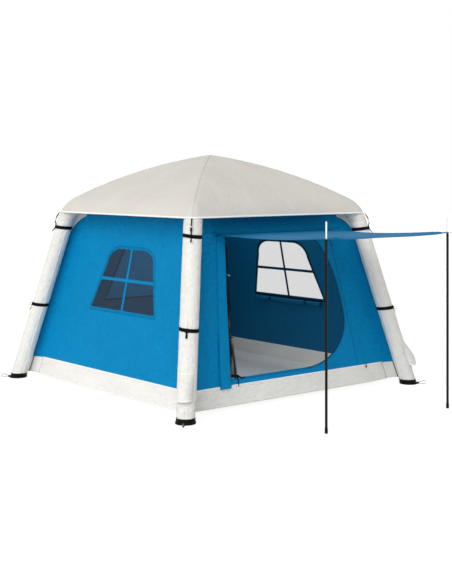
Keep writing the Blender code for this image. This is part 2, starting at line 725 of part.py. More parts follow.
def bore_helper(name, signs, radius, depth_in):
    """A round tool along the valve's axis, from a depth inside the sleeve to well outside it."""
    length = depth_in + OVERRUN
    matrix = valve_axis_frame(signs) @ Matrix.Translation((0, 0, (OVERRUN - depth_in) / 2))
    return helper(name, cylinder(radius, length, matrix))


def build_legs():
    """Each leg sleeve is an open cloth tube with a web along it that carries the wall corner."""
    for name, signs in CORNERS.items():
        heights = (CAP_SEAT + TOUCH + SLEEVE_WALL, TAPER_HEIGHT, LEG_SEAM_HEIGHT)
        bm = loft([(ring_matrix(signs, leg_station(z)), sleeve_radius(z)) for z in heights])
        obj = part("leg_sleeve_" + name, bm, WHITE_CLOTH)
        solidify(obj, SLEEVE_WALL, -1)
        corner = (WALL_REACH - LEG_REACH) * DIAGONAL
        split = SKIRT_HEIGHT + SHEET_THICKNESS
        upper = web_tool(signs, corner - WALL_THICKNESS, split, LEG_SEAM_HEIGHT - TOUCH)
        lower = web_tool(signs, corner + 2 * TOUCH, CAP_HEIGHT + SHEET_THICKNESS, split - TOUCH)
        boolean(obj, helper("wall_web_" + name, upper), "UNION")
        boolean(obj, helper("skirt_web_" + name, lower), "UNION")
        if signs[1] < 0:
            tool = bore_helper("sleeve_bore_" + name, signs, VALVE_NECK_RADIUS + TOUCH, VALVE_DEPTH)
            boolean(obj, tool, "DIFFERENCE")


def web_tool(signs, inner, low, high):
    """A thin plate from a leg's sleeve in to the corner of the walls or of the skirt."""
    bm = box((-inner, WEB_THICKNESS, high - low), (inner / 2, 0, (low + high) / 2))
    for vert in bm.verts:
        if vert.co.x > inner / 2:
            vert.co.x = SLEEVE_WALL / 2 - sleeve_radius(vert.co.z)
    bmesh.ops.transform(bm, matrix=corner_frame(signs), verts=bm.verts)
    return bm


def build_rafters():
    """Each rafter sleeve carries the web on round the bend, up to the wall's top."""
    for name, signs in CORNERS.items():
        stations = [leg_station(LEG_SEAM_HEIGHT + TOUCH)] + bend_stations() + rafter_stations()
        bm = loft([(ring_matrix(signs, station), SLEEVE_RADIUS) for station in stations])
        obj = part("rafter_sleeve_" + name, bm, WHITE_CLOTH)
        solidify(obj, SLEEVE_WALL, -1)
        webbed = [station for station in stations if inner_side(station).y <= WALL_TOP]
        boolean(obj, helper("bend_web_" + name, bend_web(signs, webbed)), "UNION")


def inner_side(station):
    """A point inside the cloth of a sleeve's inner side: its distance from the middle and its height."""
    distance, height, slope = station
    return Vector((distance, height)) - (SLEEVE_RADIUS - SLEEVE_WALL / 2) * Vector((sin(slope), cos(slope)))


def bend_web(signs, stations):
    """A thin plate from the inner side of a bending sleeve in to the corner of the walls."""
    bm = bmesh.new()
    bmesh.ops.create_grid(bm, x_segments=1, y_segments=len(stations) - 1, size=1)
    for vert in bm.verts:
        reach, height = inner_side(stations[round((vert.co.y + 1) / 2 * (len(stations) - 1))])
        if vert.co.x < 0:
            reach = wall_half(height) * DIAGONAL - WALL_THICKNESS
        vert.co = (reach, -WEB_THICKNESS / 2, height)
    raised = bmesh.ops.extrude_face_region(bm, geom=bm.faces[:])["geom"]
    bmesh.ops.translate(bm, vec=(0, WEB_THICKNESS, 0), verts=[v for v in raised if isinstance(v, bmesh.types.BMVert)])
    bmesh.ops.transform(bm, matrix=Matrix.Rotation(atan2(signs[1], signs[0]), 4, "Z"), verts=bm.verts)
    bmesh.ops.recalc_face_normals(bm, faces=bm.faces)
    return bm


def build_air_beams():
    """Each beam arches from a front foot over the apex to the opposite back foot."""
    inset = SLEEVE_WALL + BEAM_SLACK
    shift = NIP_RADIUS + NIP_GAP / 2
    for name, signs, lift in (("a", (-1, -1), shift), ("b", (1, -1), -shift)):
        half = [(leg_station(z), sleeve_radius(z) - inset) for z in (CAP_SEAT + TOUCH, TAPER_HEIGHT)]
        half += [(station, SLEEVE_RADIUS - inset) for station in bend_stations() + rafter_stations()]
        distance, height, slope = rafter_station(rafter_slope_at(NIP_REACH))
        half.append(((distance, height + lift, slope), NIP_RADIUS))
        rings = [(ring_matrix(signs, station), size) for station, size in half]
        rings.append((ring_matrix(signs, (0, APEX_HEIGHT + lift, 0)), NIP_RADIUS))
        rings += [(ring_matrix(signs, (-x, z, slope), rising=False), size) for (x, z, slope), size in reversed(half)]
        obj = part("air_beam_" + name, loft(rings, caps=True), BEAM_FILM)
        tool = bore_helper("beam_bore_" + name, signs, VALVE_NECK_RADIUS + TOUCH, VALVE_DEPTH + TOUCH)
        boolean(obj, tool, "DIFFERENCE")


def build_roof_fly():
    """Taut cloth over the rafters: the convex hull of the four sleeves, cut level at the hem."""
    radius = SLEEVE_RADIUS + ROOF_CLEARANCE + ROOF_THICKNESS
    bm = bmesh.new()
    for signs in CORNERS.values():
        below = leg_station(HEM_HEIGHT - radius)
        for station in [below] + bend_stations() + rafter_stations():
            bmesh.ops.create_circle(bm, segments=BEAM_SIDES, radius=radius, matrix=ring_matrix(signs, station))
    peak = radius / cos(rafter_slope_at(0))
    bm.verts.new((0, 0, APEX_HEIGHT + peak))
    result = bmesh.ops.convex_hull(bm, input=bm.verts, use_existing_faces=False)
    spare = {item for item in result["geom_interior"] + result["geom_unused"] if isinstance(item, bmesh.types.BMVert)}
    bmesh.ops.delete(bm, geom=list(spare), context="VERTS")
    loose = [edge for edge in bm.edges if not edge.link_faces]
    bmesh.ops.delete(bm, geom=loose, context="EDGES")
    everything = list(bm.verts) + list(bm.edges) + list(bm.faces)
    bmesh.ops.bisect_plane(bm, geom=everything, plane_co=(0, 0, HEM_HEIGHT), plane_no=(0, 0, 1), clear_inner=True)
    bmesh.ops.recalc_face_normals(bm, faces=bm.faces)
    if sum(face.normal.z for face in bm.faces) < 0:
        bmesh.ops.reverse_faces(bm, faces=bm.faces)
    obj = part("roof_fly", bm, ROOF_CLOTH)
    solidify(obj, ROOF_THICKNESS, -1)


def build_ceiling():
    """A mesh ceiling: a four-sided dome from the wall tops up the undersides of the rafters."""
    edge = wall_half(WALL_TOP) - WALL_THICKNESS / cos(WALL_TILT) - CORNER_GAP
    drop = SLEEVE_RADIUS + ROOF_CLEARANCE
    rings = [(edge, WALL_TOP - OVERRUN)]
    for distance, height, slope in rafter_stations():
        if distance < edge * DIAGONAL - drop:
            rings.append(((distance - drop * sin(slope)) / DIAGONAL, height - drop * cos(slope)))
    obj = part("ceiling_mesh", square_loft(rings, cap_last=True), DARK_MESH, smooth=False)
    if sum((face.normal.z for face in obj.data.polygons)) < 0:
        obj.data.flip_normals()
    solidify(obj, CEILING_THICKNESS, -1)


def build_straps():
    for name, signs in CORNERS.items():
        for level, height in (("upper", UPPER_STRAP_HEIGHT), ("lower", LOWER_STRAP_HEIGHT)):
            matrix = Matrix.Translation((0, 0, height))
            bm = cylinder(SLEEVE_RADIUS + TOUCH, STRAP_WIDTH, matrix, caps=False)
            slit_strap(bm)
            bmesh.ops.transform(bm, matrix=corner_frame(signs), verts=bm.verts)
            obj = part("strap_" + level + "_" + name, bm, BLACK_WEBBING)
            solidify(obj, STRAP_THICKNESS, 1)


def slit_strap(bm):
    """Opens a strap at the leg's inner side, where the web runs through it."""
    inner = [face for face in bm.faces if face.calc_center_median().x < -SLEEVE_RADIUS * cos(2 * pi / BEAM_SIDES)]
    bmesh.ops.delete(bm, geom=inner, context="FACES")


def tie_lift():
    """How far the roof ties' inner faces stand off the sleeve, over the upper strap."""
    return STRAP_THICKNESS + 2 * TOUCH


def tie_outline():
    """Webbing from the hem down over the upper strap, with an hourglass buckle in it."""
    up = 1 / cos(LEG_TILT)
    top = (HEM_HEIGHT - TOUCH) * up - (tie_lift() + TIE_THICKNESS + ROOF_THICKNESS) * tan(LEG_TILT)
    bottom = (UPPER_STRAP_HEIGHT - TIE_TAIL) * up
    buckle = (HEM_HEIGHT + UPPER_STRAP_HEIGHT + STRAP_WIDTH) / 2 * up
    half = BUCKLE_HEIGHT / 2
    right = [(TIE_WIDTH / 2, bottom), (TIE_WIDTH / 2, buckle - half), (BUCKLE_WIDTH / 2, buckle - half),
             (BUCKLE_WAIST / 2, buckle), (BUCKLE_WIDTH / 2, buckle + half), (TIE_WIDTH / 2, buckle + half),
             (TIE_WIDTH / 2, top)]
    return right + [(-x, y) for x, y in reversed(right)]


def build_ties():
    for name, signs in CORNERS.items():
        turn = atan2(signs[1], signs[0]) + pi / 2
        reach = LEG_REACH * DIAGONAL + SLEEVE_RADIUS
        frame = leaning_frame(turn, reach, LEG_TILT) @ Matrix.Translation((0, 0, tie_lift()))
        outline("roof_tie_" + name, [tie_outline()], TIE_THICKNESS, frame, BLACK_WEBBING)


def build_feet():
    """A black cap in two tiers under each leg, with two ears and a pin that holds a webbing loop."""
    profile = [(0, CAP_SEAT), (sleeve_radius(CAP_SEAT) + TOUCH, CAP_SEAT),
               (sleeve_radius(CAP_HEIGHT) + TOUCH, CAP_HEIGHT), (RIM_RADIUS, CAP_HEIGHT),
               (RIM_RADIUS, FLANGE_HEIGHT), (FLANGE_RADIUS, FLANGE_HEIGHT), (FLANGE_RADIUS, 0), (0, 0)]
    slot = LOOP_WIDTH + 2 * PIN_CLEARANCE
    width = slot + 2 * EAR_THICKNESS
    start = RIM_RADIUS
    length = FLANGE_RADIUS + EAR_LENGTH - start
    for name, signs in CORNERS.items():
        frame = upright_frame(signs)
        bm = turned(profile)
        bmesh.ops.transform(bm, matrix=corner_frame(signs), verts=bm.verts)
        cap = part("foot_cap_" + name, bm, BLACK_PLASTIC)
        base = box((length, width, FLANGE_HEIGHT - TOUCH), (start + length / 2, 0, (FLANGE_HEIGHT - TOUCH) / 2))
        gap = box((EAR_LENGTH + OVERRUN, slot, 2 * FLANGE_HEIGHT), (FLANGE_RADIUS + (EAR_LENGTH + OVERRUN) / 2, 0, 0))
        pin = cylinder(PIN_RADIUS, slot + EAR_THICKNESS, pin_matrix(signs) @ Matrix.Rotation(pi / 2, 4, "X"), 12)
        for tool in (base, gap):
            bmesh.ops.transform(tool, matrix=frame, verts=tool.verts)
        boolean(cap, helper("ears_" + name, base), "UNION")
        boolean(cap, helper("ear_gap_" + name, gap), "DIFFERENCE")
        boolean(cap, helper("pin_" + name, pin), "UNION")
        upright = pin_matrix(signs) @ Matrix.Rotation(pi / 2, 4, "X") @ Matrix.Translation((0, 0, -LOOP_WIDTH / 2))
        outline("peg_loop_" + name, loop_outlines(), LOOP_WIDTH, upright, BLACK_WEBBING)


def pin_matrix(signs):
    """On the pin's axis: X outwards along the diagonal, Y along the pin, Z up."""
    return upright_frame(signs) @ Matrix.Translation((FLANGE_RADIUS + EAR_LENGTH / 2, 0, PIN_HEIGHT))


def loop_outlines():
    """The strap's outer and inner faces: small round the pin and round at the far end, on the ground."""
    far = LOOP_HEIGHT / 2
    near = PIN_RADIUS + PIN_CLEARANCE + LOOP_THICKNESS
    centre = Vector((LOOP_LENGTH - far, far + TOUCH - PIN_HEIGHT))
    return [belt(near, far, centre), belt(near - LOOP_THICKNESS, far - LOOP_THICKNESS, centre)]


def belt(near, far, centre):
    """The outline of a belt round a circle at the origin and one at the given centre."""
    lean = atan2(centre.y, centre.x)
    contact = acos((near - far) / centre.length)
    points = []
    for step in range(LOOP_STEPS + 1):
        angle = lean - contact + 2 * contact * step / LOOP_STEPS
        points.append((centre.x + far * cos(angle), centre.y + far * sin(angle)))
    for step in range(LOOP_STEPS + 1):
        angle = lean + contact + 2 * (pi - contact) * step / LOOP_STEPS
        points.append((near * cos(angle), near * sin(angle)))
    return points


def build_valves():
    """A screw valve low on each front leg, under a cloth hood."""
    for name in ("front_left", "front_right"):
        signs = CORNERS[name]
        frame = valve_axis_frame(signs)
        seat = TOUCH
        flange_top = seat + VALVE_FLANGE_THICKNESS
        neck_top = flange_top + VALVE_OUT
        profile = [(0, neck_top), (VALVE_NECK_RADIUS, neck_top), (VALVE_NECK_RADIUS, flange_top),
                   (VALVE_FLANGE_RADIUS, flange_top), (VALVE_FLANGE_RADIUS, seat), (VALVE_NECK_RADIUS, seat),
                   (VALVE_NECK_RADIUS, -VALVE_DEPTH), (0, -VALVE_DEPTH)]
        bm = turned(profile)
        bmesh.ops.transform(bm, matrix=frame, verts=bm.verts)
        part("valve_" + name, bm, BLACK_PLASTIC)
        bottom = neck_top + TOUCH
        top = bottom + VALVE_CAP_THICKNESS
        bevel = VALVE_CAP_THICKNESS / 4
        profile = [(0, top), (VALVE_CAP_RADIUS - bevel, top), (VALVE_CAP_RADIUS, top - bevel),
                   (VALVE_CAP_RADIUS, bottom), (0, bottom)]
        cap = part("valve_cap_" + name, turned(profile), BLACK_PLASTIC)
        cap.matrix_world = frame
        build_hood(name, signs)


def build_hood(name, signs):
    """A flap sewn on along its top: it lies on the leg there and stands off it at its lower edge."""
    bm = bmesh.new()
    bmesh.ops.create_grid(bm, x_segments=8, y_segments=6, size=1)
    for vert in bm.verts:
        angle = radians(HOOD_HALF_ANGLE) * vert.co.x
        down = (1 - vert.co.y) / 2
        bottom = HOOD_BOTTOM + HOOD_SIDE_RISE * vert.co.x ** 2
        height = HOOD_TOP + (bottom - HOOD_TOP) * down
        swell = sin(radians(HOOD_SWELL_TURN) * down ** HOOD_SWELL_POWER)
        stand = HOOD_STAND_OFF * swell * cos(vert.co.x * pi / 2)
        radius = sleeve_radius(height) + HOOD_GAP + stand
        vert.co = (radius * cos(angle), radius * sin(angle), height)
    bmesh.ops.transform(bm, matrix=corner_frame(signs), verts=bm.verts)
    obj = part("valve_hood_" + name, bm, WHITE_CLOTH)
    solidify(obj, HOOD_THICKNESS, 1)
    origin_at(obj, hood_hinge(signs))


def hood_hinge(signs):
    """The middle of the straight line between the ends of the hood's top seam."""
    reach = (SLEEVE_RADIUS + HOOD_GAP) * cos(radians(HOOD_HALF_ANGLE))
    return corner_frame(signs) @ Vector((reach, 0, HOOD_TOP))


build_ground_sheet()
build_walls()
build_storm_flap()
build_zip_sliders()
build_mesh_door_roll()
build_awning()
build_poles()
build_legs()
build_rafters()
build_air_beams()
build_roof_fly()
build_ceiling()
build_straps()
build_ties()
build_feet()
build_valves()
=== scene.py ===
"""The looks of an inflatable tent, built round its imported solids: creased cloth walls, a taut roof fly,
padded air sleeves, see-through windows, a rolled mesh door and an awning on two poles.

Metres, +Z up. The origin is on the ground at the middle of the floor, and the door faces -Y.
"""

from math import acos, asin, atan, atan2, cos, hypot, pi, radians, sin, sqrt

import bmesh
import bpy
from mathutils import Matrix, Vector, noise
from mathutils.bvhtree import BVHTree


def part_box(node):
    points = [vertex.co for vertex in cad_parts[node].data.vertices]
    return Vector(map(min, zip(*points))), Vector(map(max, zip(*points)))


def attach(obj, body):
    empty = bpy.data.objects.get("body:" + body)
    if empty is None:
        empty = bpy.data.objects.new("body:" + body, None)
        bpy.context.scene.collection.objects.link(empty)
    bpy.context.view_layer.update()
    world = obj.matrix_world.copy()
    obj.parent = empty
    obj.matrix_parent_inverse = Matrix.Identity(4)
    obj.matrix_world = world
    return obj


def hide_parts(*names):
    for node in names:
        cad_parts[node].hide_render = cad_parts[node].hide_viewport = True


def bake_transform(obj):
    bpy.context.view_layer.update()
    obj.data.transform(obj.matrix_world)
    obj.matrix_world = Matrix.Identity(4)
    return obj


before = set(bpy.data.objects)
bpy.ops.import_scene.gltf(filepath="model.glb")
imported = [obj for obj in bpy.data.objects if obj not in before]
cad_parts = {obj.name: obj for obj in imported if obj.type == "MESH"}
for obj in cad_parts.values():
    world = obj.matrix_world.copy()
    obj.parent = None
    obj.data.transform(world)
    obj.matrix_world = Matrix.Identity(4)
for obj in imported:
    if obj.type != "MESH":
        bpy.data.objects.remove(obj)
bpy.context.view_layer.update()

bl_info = {
    "name": "Inflatable Tent",
    "version": (1, 0, 0),
    "blender": (4, 5, 0),
    "location": "View3D > Sidebar > Tent",
    "description": "Dresses the solids of an inflatable tent in cloth, mesh, webbing and metal",
    "category": "Object",
}

# The route of the legs, walls and rafters, as the solids have it
LEG_REACH = 1.40
LEAN = 0.2194
SLEEVE_RADIUS = 0.084
FOOT_RADIUS = 0.078
TAPER_HEIGHT = 0.200
APEX_HEIGHT = 2.182
EAVES_HEIGHT = 1.596
RAFTER_RADIUS = 4.60
BEND_RADIUS = 0.28
LEG_SEAM_HEIGHT = 1.52
RAFTER_END = 0.125
WALL_REACH = 1.262
WALL_TOP = 1.698
WALL_CORNER_RADIUS = 0.06
SKIRT_HEIGHT = 0.205
SKIRT_FOOT = 0.045
FLOOR_REACH = 1.10
CAP_SEAT = 0.010
CAP_HEIGHT = 0.046
CAP_MOUTH_RADIUS = 0.0815
BEAD = 0.0016
HEM_HEIGHT = 1.686

# Windows, doorway and what belongs to them
WINDOW_BOTTOM = 0.783
WINDOW_BAR_HEIGHT = 1.066
WINDOW_TOP = 1.357
WINDOW_HALF_BOTTOM = 0.520
WINDOW_HALF_BAR = 0.425
WINDOW_HALF_TOP = 0.19
WINDOW_BAR = 0.028
WINDOW_SPRING = (WINDOW_BAR_HEIGHT + WINDOW_TOP) / 2
BORDER_MARGIN = 0.020
WINDOW_ROUND = 0.008
MESH_MARGIN = 0.018
BLIND_RADIUS = 0.027
BLIND_HALF_LENGTH = 0.50
BLIND_DROP = 0.045
BLIND_TIE = 0.27
DOOR_SILL = 0.269
DOOR_TOP = 1.488
DOOR_LEFT_TOP = 0.590
DOOR_LEFT_BOTTOM = 0.745
DOOR_RIGHT_SILL = 0.20
DOOR_RIGHT = 0.772
DOOR_RIGHT_HEIGHT = 0.70
DOOR_RIGHT_TOP = 0.40
FLAP_TOP = 1.524
FLAP_LAP = 0.001
FLAP_WIDTH = 0.105
FLAP_STAND_OFF = 0.016
FLAP_FLARE = 0.028
FLAP_OVERHANG = 0.018
FLAP_FOOT_RISE = 0.0085
FLAP_LOOSE_BELOW = 0.75
ZIP_RIGHT_TOP = 0.753
ZIP_RIGHT_BOTTOM = 0.873
ROLL_TURNS = 3
ROLL_RADIUS = 0.033
ROLL_WAIST_RADIUS = 0.024
ROLL_FOOT_RADIUS = 0.047
ROLL_TOP = 1.43
ROLL_BOTTOM = 0.30
ROLL_WAIST_SHARES = (0.24, 0.72)
ROLL_EDGE_SHARES = (0.60, 0.90)

# Awning, poles, straps and small parts
SEAM_HEIGHT = 1.50
SEAM_RISE = 0.034
HEADER_SEAM = SEAM_HEIGHT + SEAM_RISE + 0.008
AWNING_SIDE_SAG = 0.026
SEAM_HALF_WIDTH = 0.735
AWNING_GAP = 0.0009
AWNING_INNER = LEAN * SEAM_HEIGHT - WALL_REACH - AWNING_GAP
AWNING_MARGIN = 0.030
AWNING_SAG = 0.022
HEM_SAG_SHARE = 0.5
BELLY_SAG_SHARE = 2.0
POLE_X = 0.757
POLE_Y = -2.408
POLE_RADIUS = 0.011
POLE_HEIGHT = 1.5535
SHOULDER_HEIGHT = 0.006
WEB_ARC_FOOT = 1.50
WEB_ARC_RISE = 0.150
UPPER_STRAP_HEIGHT = 1.535
LOWER_STRAP_HEIGHT = 0.751
STRAP_WIDTH = 0.031
STRAP_SLANT = 0.009
TIE_TAIL = 0.040
HOOD_TOP = 0.410
HOOD_BOTTOM = 0.185
HOOD_HALF_ANGLE = 48.0
HOOD_LAP = 7.0
HOOD_STAND_OFF = 0.05456
HOOD_GAP = 0.001
HOOD_SIDE_RISE = 0.006
HOOD_SWELL_POWER = 1.15
HOOD_SWELL_TURN = 130.0
HOOD_CROWN_POWER = 1.2
FLANGE_RADIUS = 0.0885
EAR_LENGTH = 0.014
PIN_HEIGHT = 0.008
PIN_RADIUS = 0.003
PIN_CLEARANCE = 0.0006
LOOP_WIDTH = 0.011
LOOP_THICKNESS = 0.0016
LOOP_LENGTH = 0.076
LOOP_HEIGHT = 0.032
VALVE_HEIGHT = 0.290
VALVE_CAP_RADIUS = 0.021
TOUCH = 0.0003

# Thickness of the visible cloth
CLOTH = 0.0012
WEBBING = 0.0016
THIN_CLOTH = 0.0007
TAPE = 0.0008

# How far seams lie over their cloth, and the widths of what is sewn on or hangs from it
SEAM_LIFT = 0.0008
HEM_LIFT = 0.0011
BORDER_WIDTH = 0.022
BAR_TAPE_WIDTH = 0.024
DOOR_BINDING_WIDTH = 0.020
ZIP_MARGIN = 0.003
ZIP_WIDTH = 0.006
SKIRT_BINDING_WIDTH = 0.016
LEG_SEAM_WIDTH = 0.010
LEG_SEAM_ANGLE = radians(128)
TIE_WIDTH = 0.013
HOOK_DROP = 0.078
TAIL_WIDTH = 0.016
TAIL_LENGTH = 0.055
LOCK_WIDTH = 0.030
TOGGLE_RADIUS = 0.0045
PULL_LENGTH = 0.028

# How lines are divided, points are welded and edges stay sharp
LINE_STEP = 0.03
GRID_WELD = 0.00002
SPIN_WELD = 0.00001
SHARP_ANGLE = radians(40)

DIAGONAL = sqrt(2)
LEG_TILT = atan(LEAN * DIAGONAL)
WALL_TILT = atan(LEAN)
# A point well inside the roof
ROOF_INSIDE = Vector((0, 0, 1.2))

# The photograph's camera, solved from the feet, straps, window corners and pole ends, and where the lamps are
CAMERA_PLACE = (-7.0971, -8.7561, 2.0673)
CAMERA_TURN = (pi / 2, 0, -0.69521)
CAMERA_LENS = 68.84
CAMERA_SHIFT = -0.2001
KEY_PLACE = (-7.8, -4.0, 5.0)
ROOF_LAMP_PLACE = (0, 0, 1.74)
DAYLIGHT = (0.88, 0.95, 1.0)

CORNERS = {"front_left": (-1, -1), "front_right": (1, -1), "back_left": (-1, 1), "back_right": (1, 1)}
WALL_TURNS = {"front": 0.0, "right": 0.5 * pi, "back": pi, "left": -0.5 * pi}


# Colours and nodes

def srgb(code):
    """Turns an sRGB hex colour to linear red, green, blue and a full alpha."""
    values = [int(code[place:place + 2], 16) / 255 for place in (1, 3, 5)]
    return tuple(v / 12.92 if v <= 0.04045 else ((v + 0.055) / 1.055) ** 2.4 for v in values) + (1.0,)


def darker(colour, share):
    return tuple(channel * share for channel in colour[:3]) + (1.0,)


def tinted(hue, share=1.0):
    """One of the panel's colours by name, or a written sRGB one, times a share."""
    return darker(srgb(hue) if hue.startswith("#") else getattr(bpy.context.scene.tent_colours, hue), share)


def link(tree, node, links):
    """Links sources into a node's sockets."""
    for socket, source in links.items():
        tree.links.new(source, node.inputs[socket])


def add(tree, kind, settings=None, links=None):
    """Adds a node with its settings, which are properties or sockets, and links into its sockets."""
    node = tree.nodes.new(kind)
    for name, value in (settings or {}).items():
        if isinstance(name, int) or name in node.inputs:
            node.inputs[name].default_value = value
        else:
            setattr(node, name, value)
    link(tree, node, links or {})
    return node


def blank(name, roughness, gloss=0.5, metallic=0.0):
    """A new material, its tree and its shader."""
    material = bpy.data.materials.new(name)
    material.use_nodes = True
    tree = material.node_tree
    shader = tree.nodes["Principled BSDF"]
    for socket, value in {"Roughness": roughness, "Specular IOR Level": gloss, "Metallic": metallic}.items():
        shader.inputs[socket].default_value = value
    return material, tree, shader


def band_scale(spacing):
    """The Wave texture's scale that gives bands of a spacing in metres."""
    return 2 * pi / 20 / spacing


def crossed(tree, where, spacing, operation):
    """Threads both ways over a cloth."""
    warp, weft = (add(tree, "ShaderNodeTexWave", {"bands_direction": axis, "Scale": band_scale(spacing)},
                      {"Vector": where}).outputs["Fac"] for axis in "XY")
    return add(tree, "ShaderNodeMath", {"operation": operation}, {0: warp, 1: weft}).outputs["Value"]


def surface(tree, shader, low, high, share, height=None, strength=0.0, depth=0.0):
    """Blends two colours by one pattern and raises the surface by another."""
    tone = add(tree, "ShaderNodeMix", {"data_type": "RGBA", 6: low, 7: high}, {0: share})
    links = {"Base Color": tone.outputs[2]}
    if height:
        bump = add(tree, "ShaderNodeBump", {"Strength": strength, "Distance": depth}, {"Height": height})
        links["Normal"] = bump.outputs["Normal"]
    link(tree, shader, links)


def coated_cloth(name, colour, roughness, gloss, crease, crumple):
    """Plain-woven polyester with a thin coating: matt, faintly ribbed, softly creased where it was folded."""
    # The weave shades most of its own mirror reflection, so the gloss is low
    material, tree, shader = blank(name, roughness, gloss)
    spacing = bpy.context.scene.tent_sizes.thread_spacing
    where = add(tree, "ShaderNodeTexCoord").outputs["UV"]
    weave = crossed(tree, where, spacing, "MULTIPLY")
    # Folding leaves broad soft dents about 20 cm apart and finer ones across them
    dents = add(tree, "ShaderNodeTexNoise", {"Scale": 5.0, "Detail": 3.0, "Roughness": 0.55, "Distortion": 0.6},
                {"Vector": where})
    tint = add(tree, "ShaderNodeTexNoise", {"Scale": 1.6, "Detail": 2.0}, {"Vector": where})
    tone = add(tree, "ShaderNodeMapRange", {"From Min": 0.35, "From Max": 0.65, "To Min": 0.0, "To Max": 1.0},
               {"Value": tint.outputs["Fac"]})
    broad = add(tree, "ShaderNodeMix", {"data_type": "RGBA", 6: darker(colour, 0.94), 7: colour},
                {0: tone.outputs["Result"]})
    threads = add(tree, "ShaderNodeMapRange", {"To Min": 0.94, "To Max": 1.02}, {"Value": weave})
    shaded = add(tree, "ShaderNodeVectorMath", {"operation": "SCALE"},
                 {0: broad.outputs[2], "Scale": threads.outputs["Result"]})
    soft = add(tree, "ShaderNodeBump", {"Strength": 1.0, "Distance": crease}, {"Height": dents.outputs["Fac"]})
    # Packing leaves a crumple of 4 to 5 cm over the dents
    packed = add(tree, "ShaderNodeTexNoise", {"Scale": 22.0, "Detail": 4.0, "Roughness": 0.6, "Distortion": 1.4},
                 {"Vector": where})
    worn = add(tree, "ShaderNodeBump", {"Strength": 1.0, "Distance": crumple},
               {"Height": packed.outputs["Fac"], "Normal": soft.outputs["Normal"]})
    fine = add(tree, "ShaderNodeBump", {"Strength": 0.35, "Distance": spacing * 0.25},
               {"Height": weave, "Normal": worn.outputs["Normal"]})
    link(tree, shader, {"Base Color": shaded.outputs["Vector"], "Normal": fine.outputs["Normal"]})
    return material


def insect_mesh(name, colour, spacing):
    """Fine knitted polyester mesh: dark yarn with open holes, so that it darkens what lies behind it."""
    material, tree, shader = blank(name, 0.85)
    cover = bpy.context.scene.tent_sizes.mesh_cover
    yarn = crossed(tree, add(tree, "ShaderNodeTexCoord").outputs["UV"], spacing, "MAXIMUM")
    # The holes are far finer than a pixel, so they are drawn as a cover that is a little denser along the yarns
    alpha = add(tree, "ShaderNodeMapRange", {"From Min": 0.0, "From Max": 1.0, "To Min": cover - 0.16,
                                             "To Max": cover + 0.06}, {"Value": yarn})
    link(tree, shader, {"Alpha": alpha.outputs["Result"]})
    shader.inputs["Base Color"].default_value = colour
    return material


def bunched_mesh(name, colour, painted_highlight):
    """Insect mesh bunched in a roll: nearly black, with paler streaks of painted highlight where the loose lower folds
    catch the light.
    """
    material, tree, shader = blank(name, 0.85, 0.10)
    where = add(tree, "ShaderNodeTexCoord").outputs["UV"]
    drawn = add(tree, "ShaderNodeMapping", {"Scale": (70.0, 5.0, 1.0)}, {"Vector": where})
    folds = add(tree, "ShaderNodeTexNoise", {"Scale": 1.0, "Detail": 4.0}, {"Vector": drawn.outputs["Vector"]})
    lines = add(tree, "ShaderNodeMapRange", {"From Min": 0.48, "From Max": 0.66}, {"Value": folds.outputs["Fac"]})
    down = add(tree, "ShaderNodeSeparateXYZ", {}, {"Vector": where})
    # The paler streaks are painted highlights, stronger down the roll towards its loose lower end
    loose = add(tree, "ShaderNodeMapRange", {"From Min": 0.55, "From Max": 1.0, "To Min": 0.15, "To Max": 1.0},
                {"Value": down.outputs["Y"]})
    share = add(tree, "ShaderNodeMath", {"operation": "MULTIPLY"},
                {0: lines.outputs["Result"], 1: loose.outputs["Result"]})
    surface(tree, shader, colour, painted_highlight, share.outputs["Value"], folds.outputs["Fac"], 0.8, 0.004)
    return material


def webbing(name, colour, spacing):
    """Flat woven webbing: slanting ribs that catch a little light and trap the rest, so it mirrors next to nothing."""
    material, tree, shader = blank(name, 0.75, 0.08)
    ribs = add(tree, "ShaderNodeTexWave", {"bands_direction": "DIAGONAL", "Scale": band_scale(spacing)},
               {"Vector": add(tree, "ShaderNodeTexCoord").outputs["UV"]}).outputs["Fac"]
    surface(tree, shader, darker(colour, 0.6), colour, ribs, ribs, 0.5, 0.0004)
    return material


def stitched_tape(name, colour, stitch, rows):
    """Woven binding tape sewn on with rows of lock stitch, which show as a dotted ridge."""
    material, tree, shader = blank(name, 0.75, 0.08)
    where = add(tree, "ShaderNodeTexCoord").outputs["UV"]
    along = add(tree, "ShaderNodeTexWave", {"bands_direction": "X", "Scale": band_scale(stitch)}, {"Vector": where})
    across = add(tree, "ShaderNodeTexWave", {"bands_direction": "Y", "Scale": band_scale(rows)}, {"Vector": where})
    narrow = add(tree, "ShaderNodeMath", {"operation": "POWER", 1: 6.0}, {0: across.outputs["Fac"]})
    thread = add(tree, "ShaderNodeMath", {"operation": "MULTIPLY"},
                 {0: along.outputs["Fac"], 1: narrow.outputs["Value"]}).outputs["Value"]
    surface(tree, shader, colour, darker(colour, 0.7), thread, thread, 0.6, 0.0005)
    return material


def moulded_plastic(name, colour, roughness, grain):
    """Moulded or lacquered, with a fine grain that breaks up most of the mirror reflection, worn a touch glossier."""
    material, tree, shader = blank(name, roughness, 0.08)
    shader.inputs["IOR"].default_value = 1.5
    where = add(tree, "ShaderNodeTexCoord").outputs["Object"]
    speck = add(tree, "ShaderNodeTexNoise", {"Scale": 1 / grain, "Detail": 2.0}, {"Vector": where})
    wear = add(tree, "ShaderNodeTexNoise", {"Scale": 24.0, "Detail": 3.0}, {"Vector": where}).outputs["Fac"]
    rough = add(tree, "ShaderNodeMapRange", {"To Min": roughness - 0.1, "To Max": roughness + 0.1}, {"Value": wear})
    surface(tree, shader, colour, darker(colour, 1.7), wear, speck.outputs["Fac"], 0.3, 0.0002)
    link(tree, shader, {"Roughness": rough.outputs["Result"]})
    return material


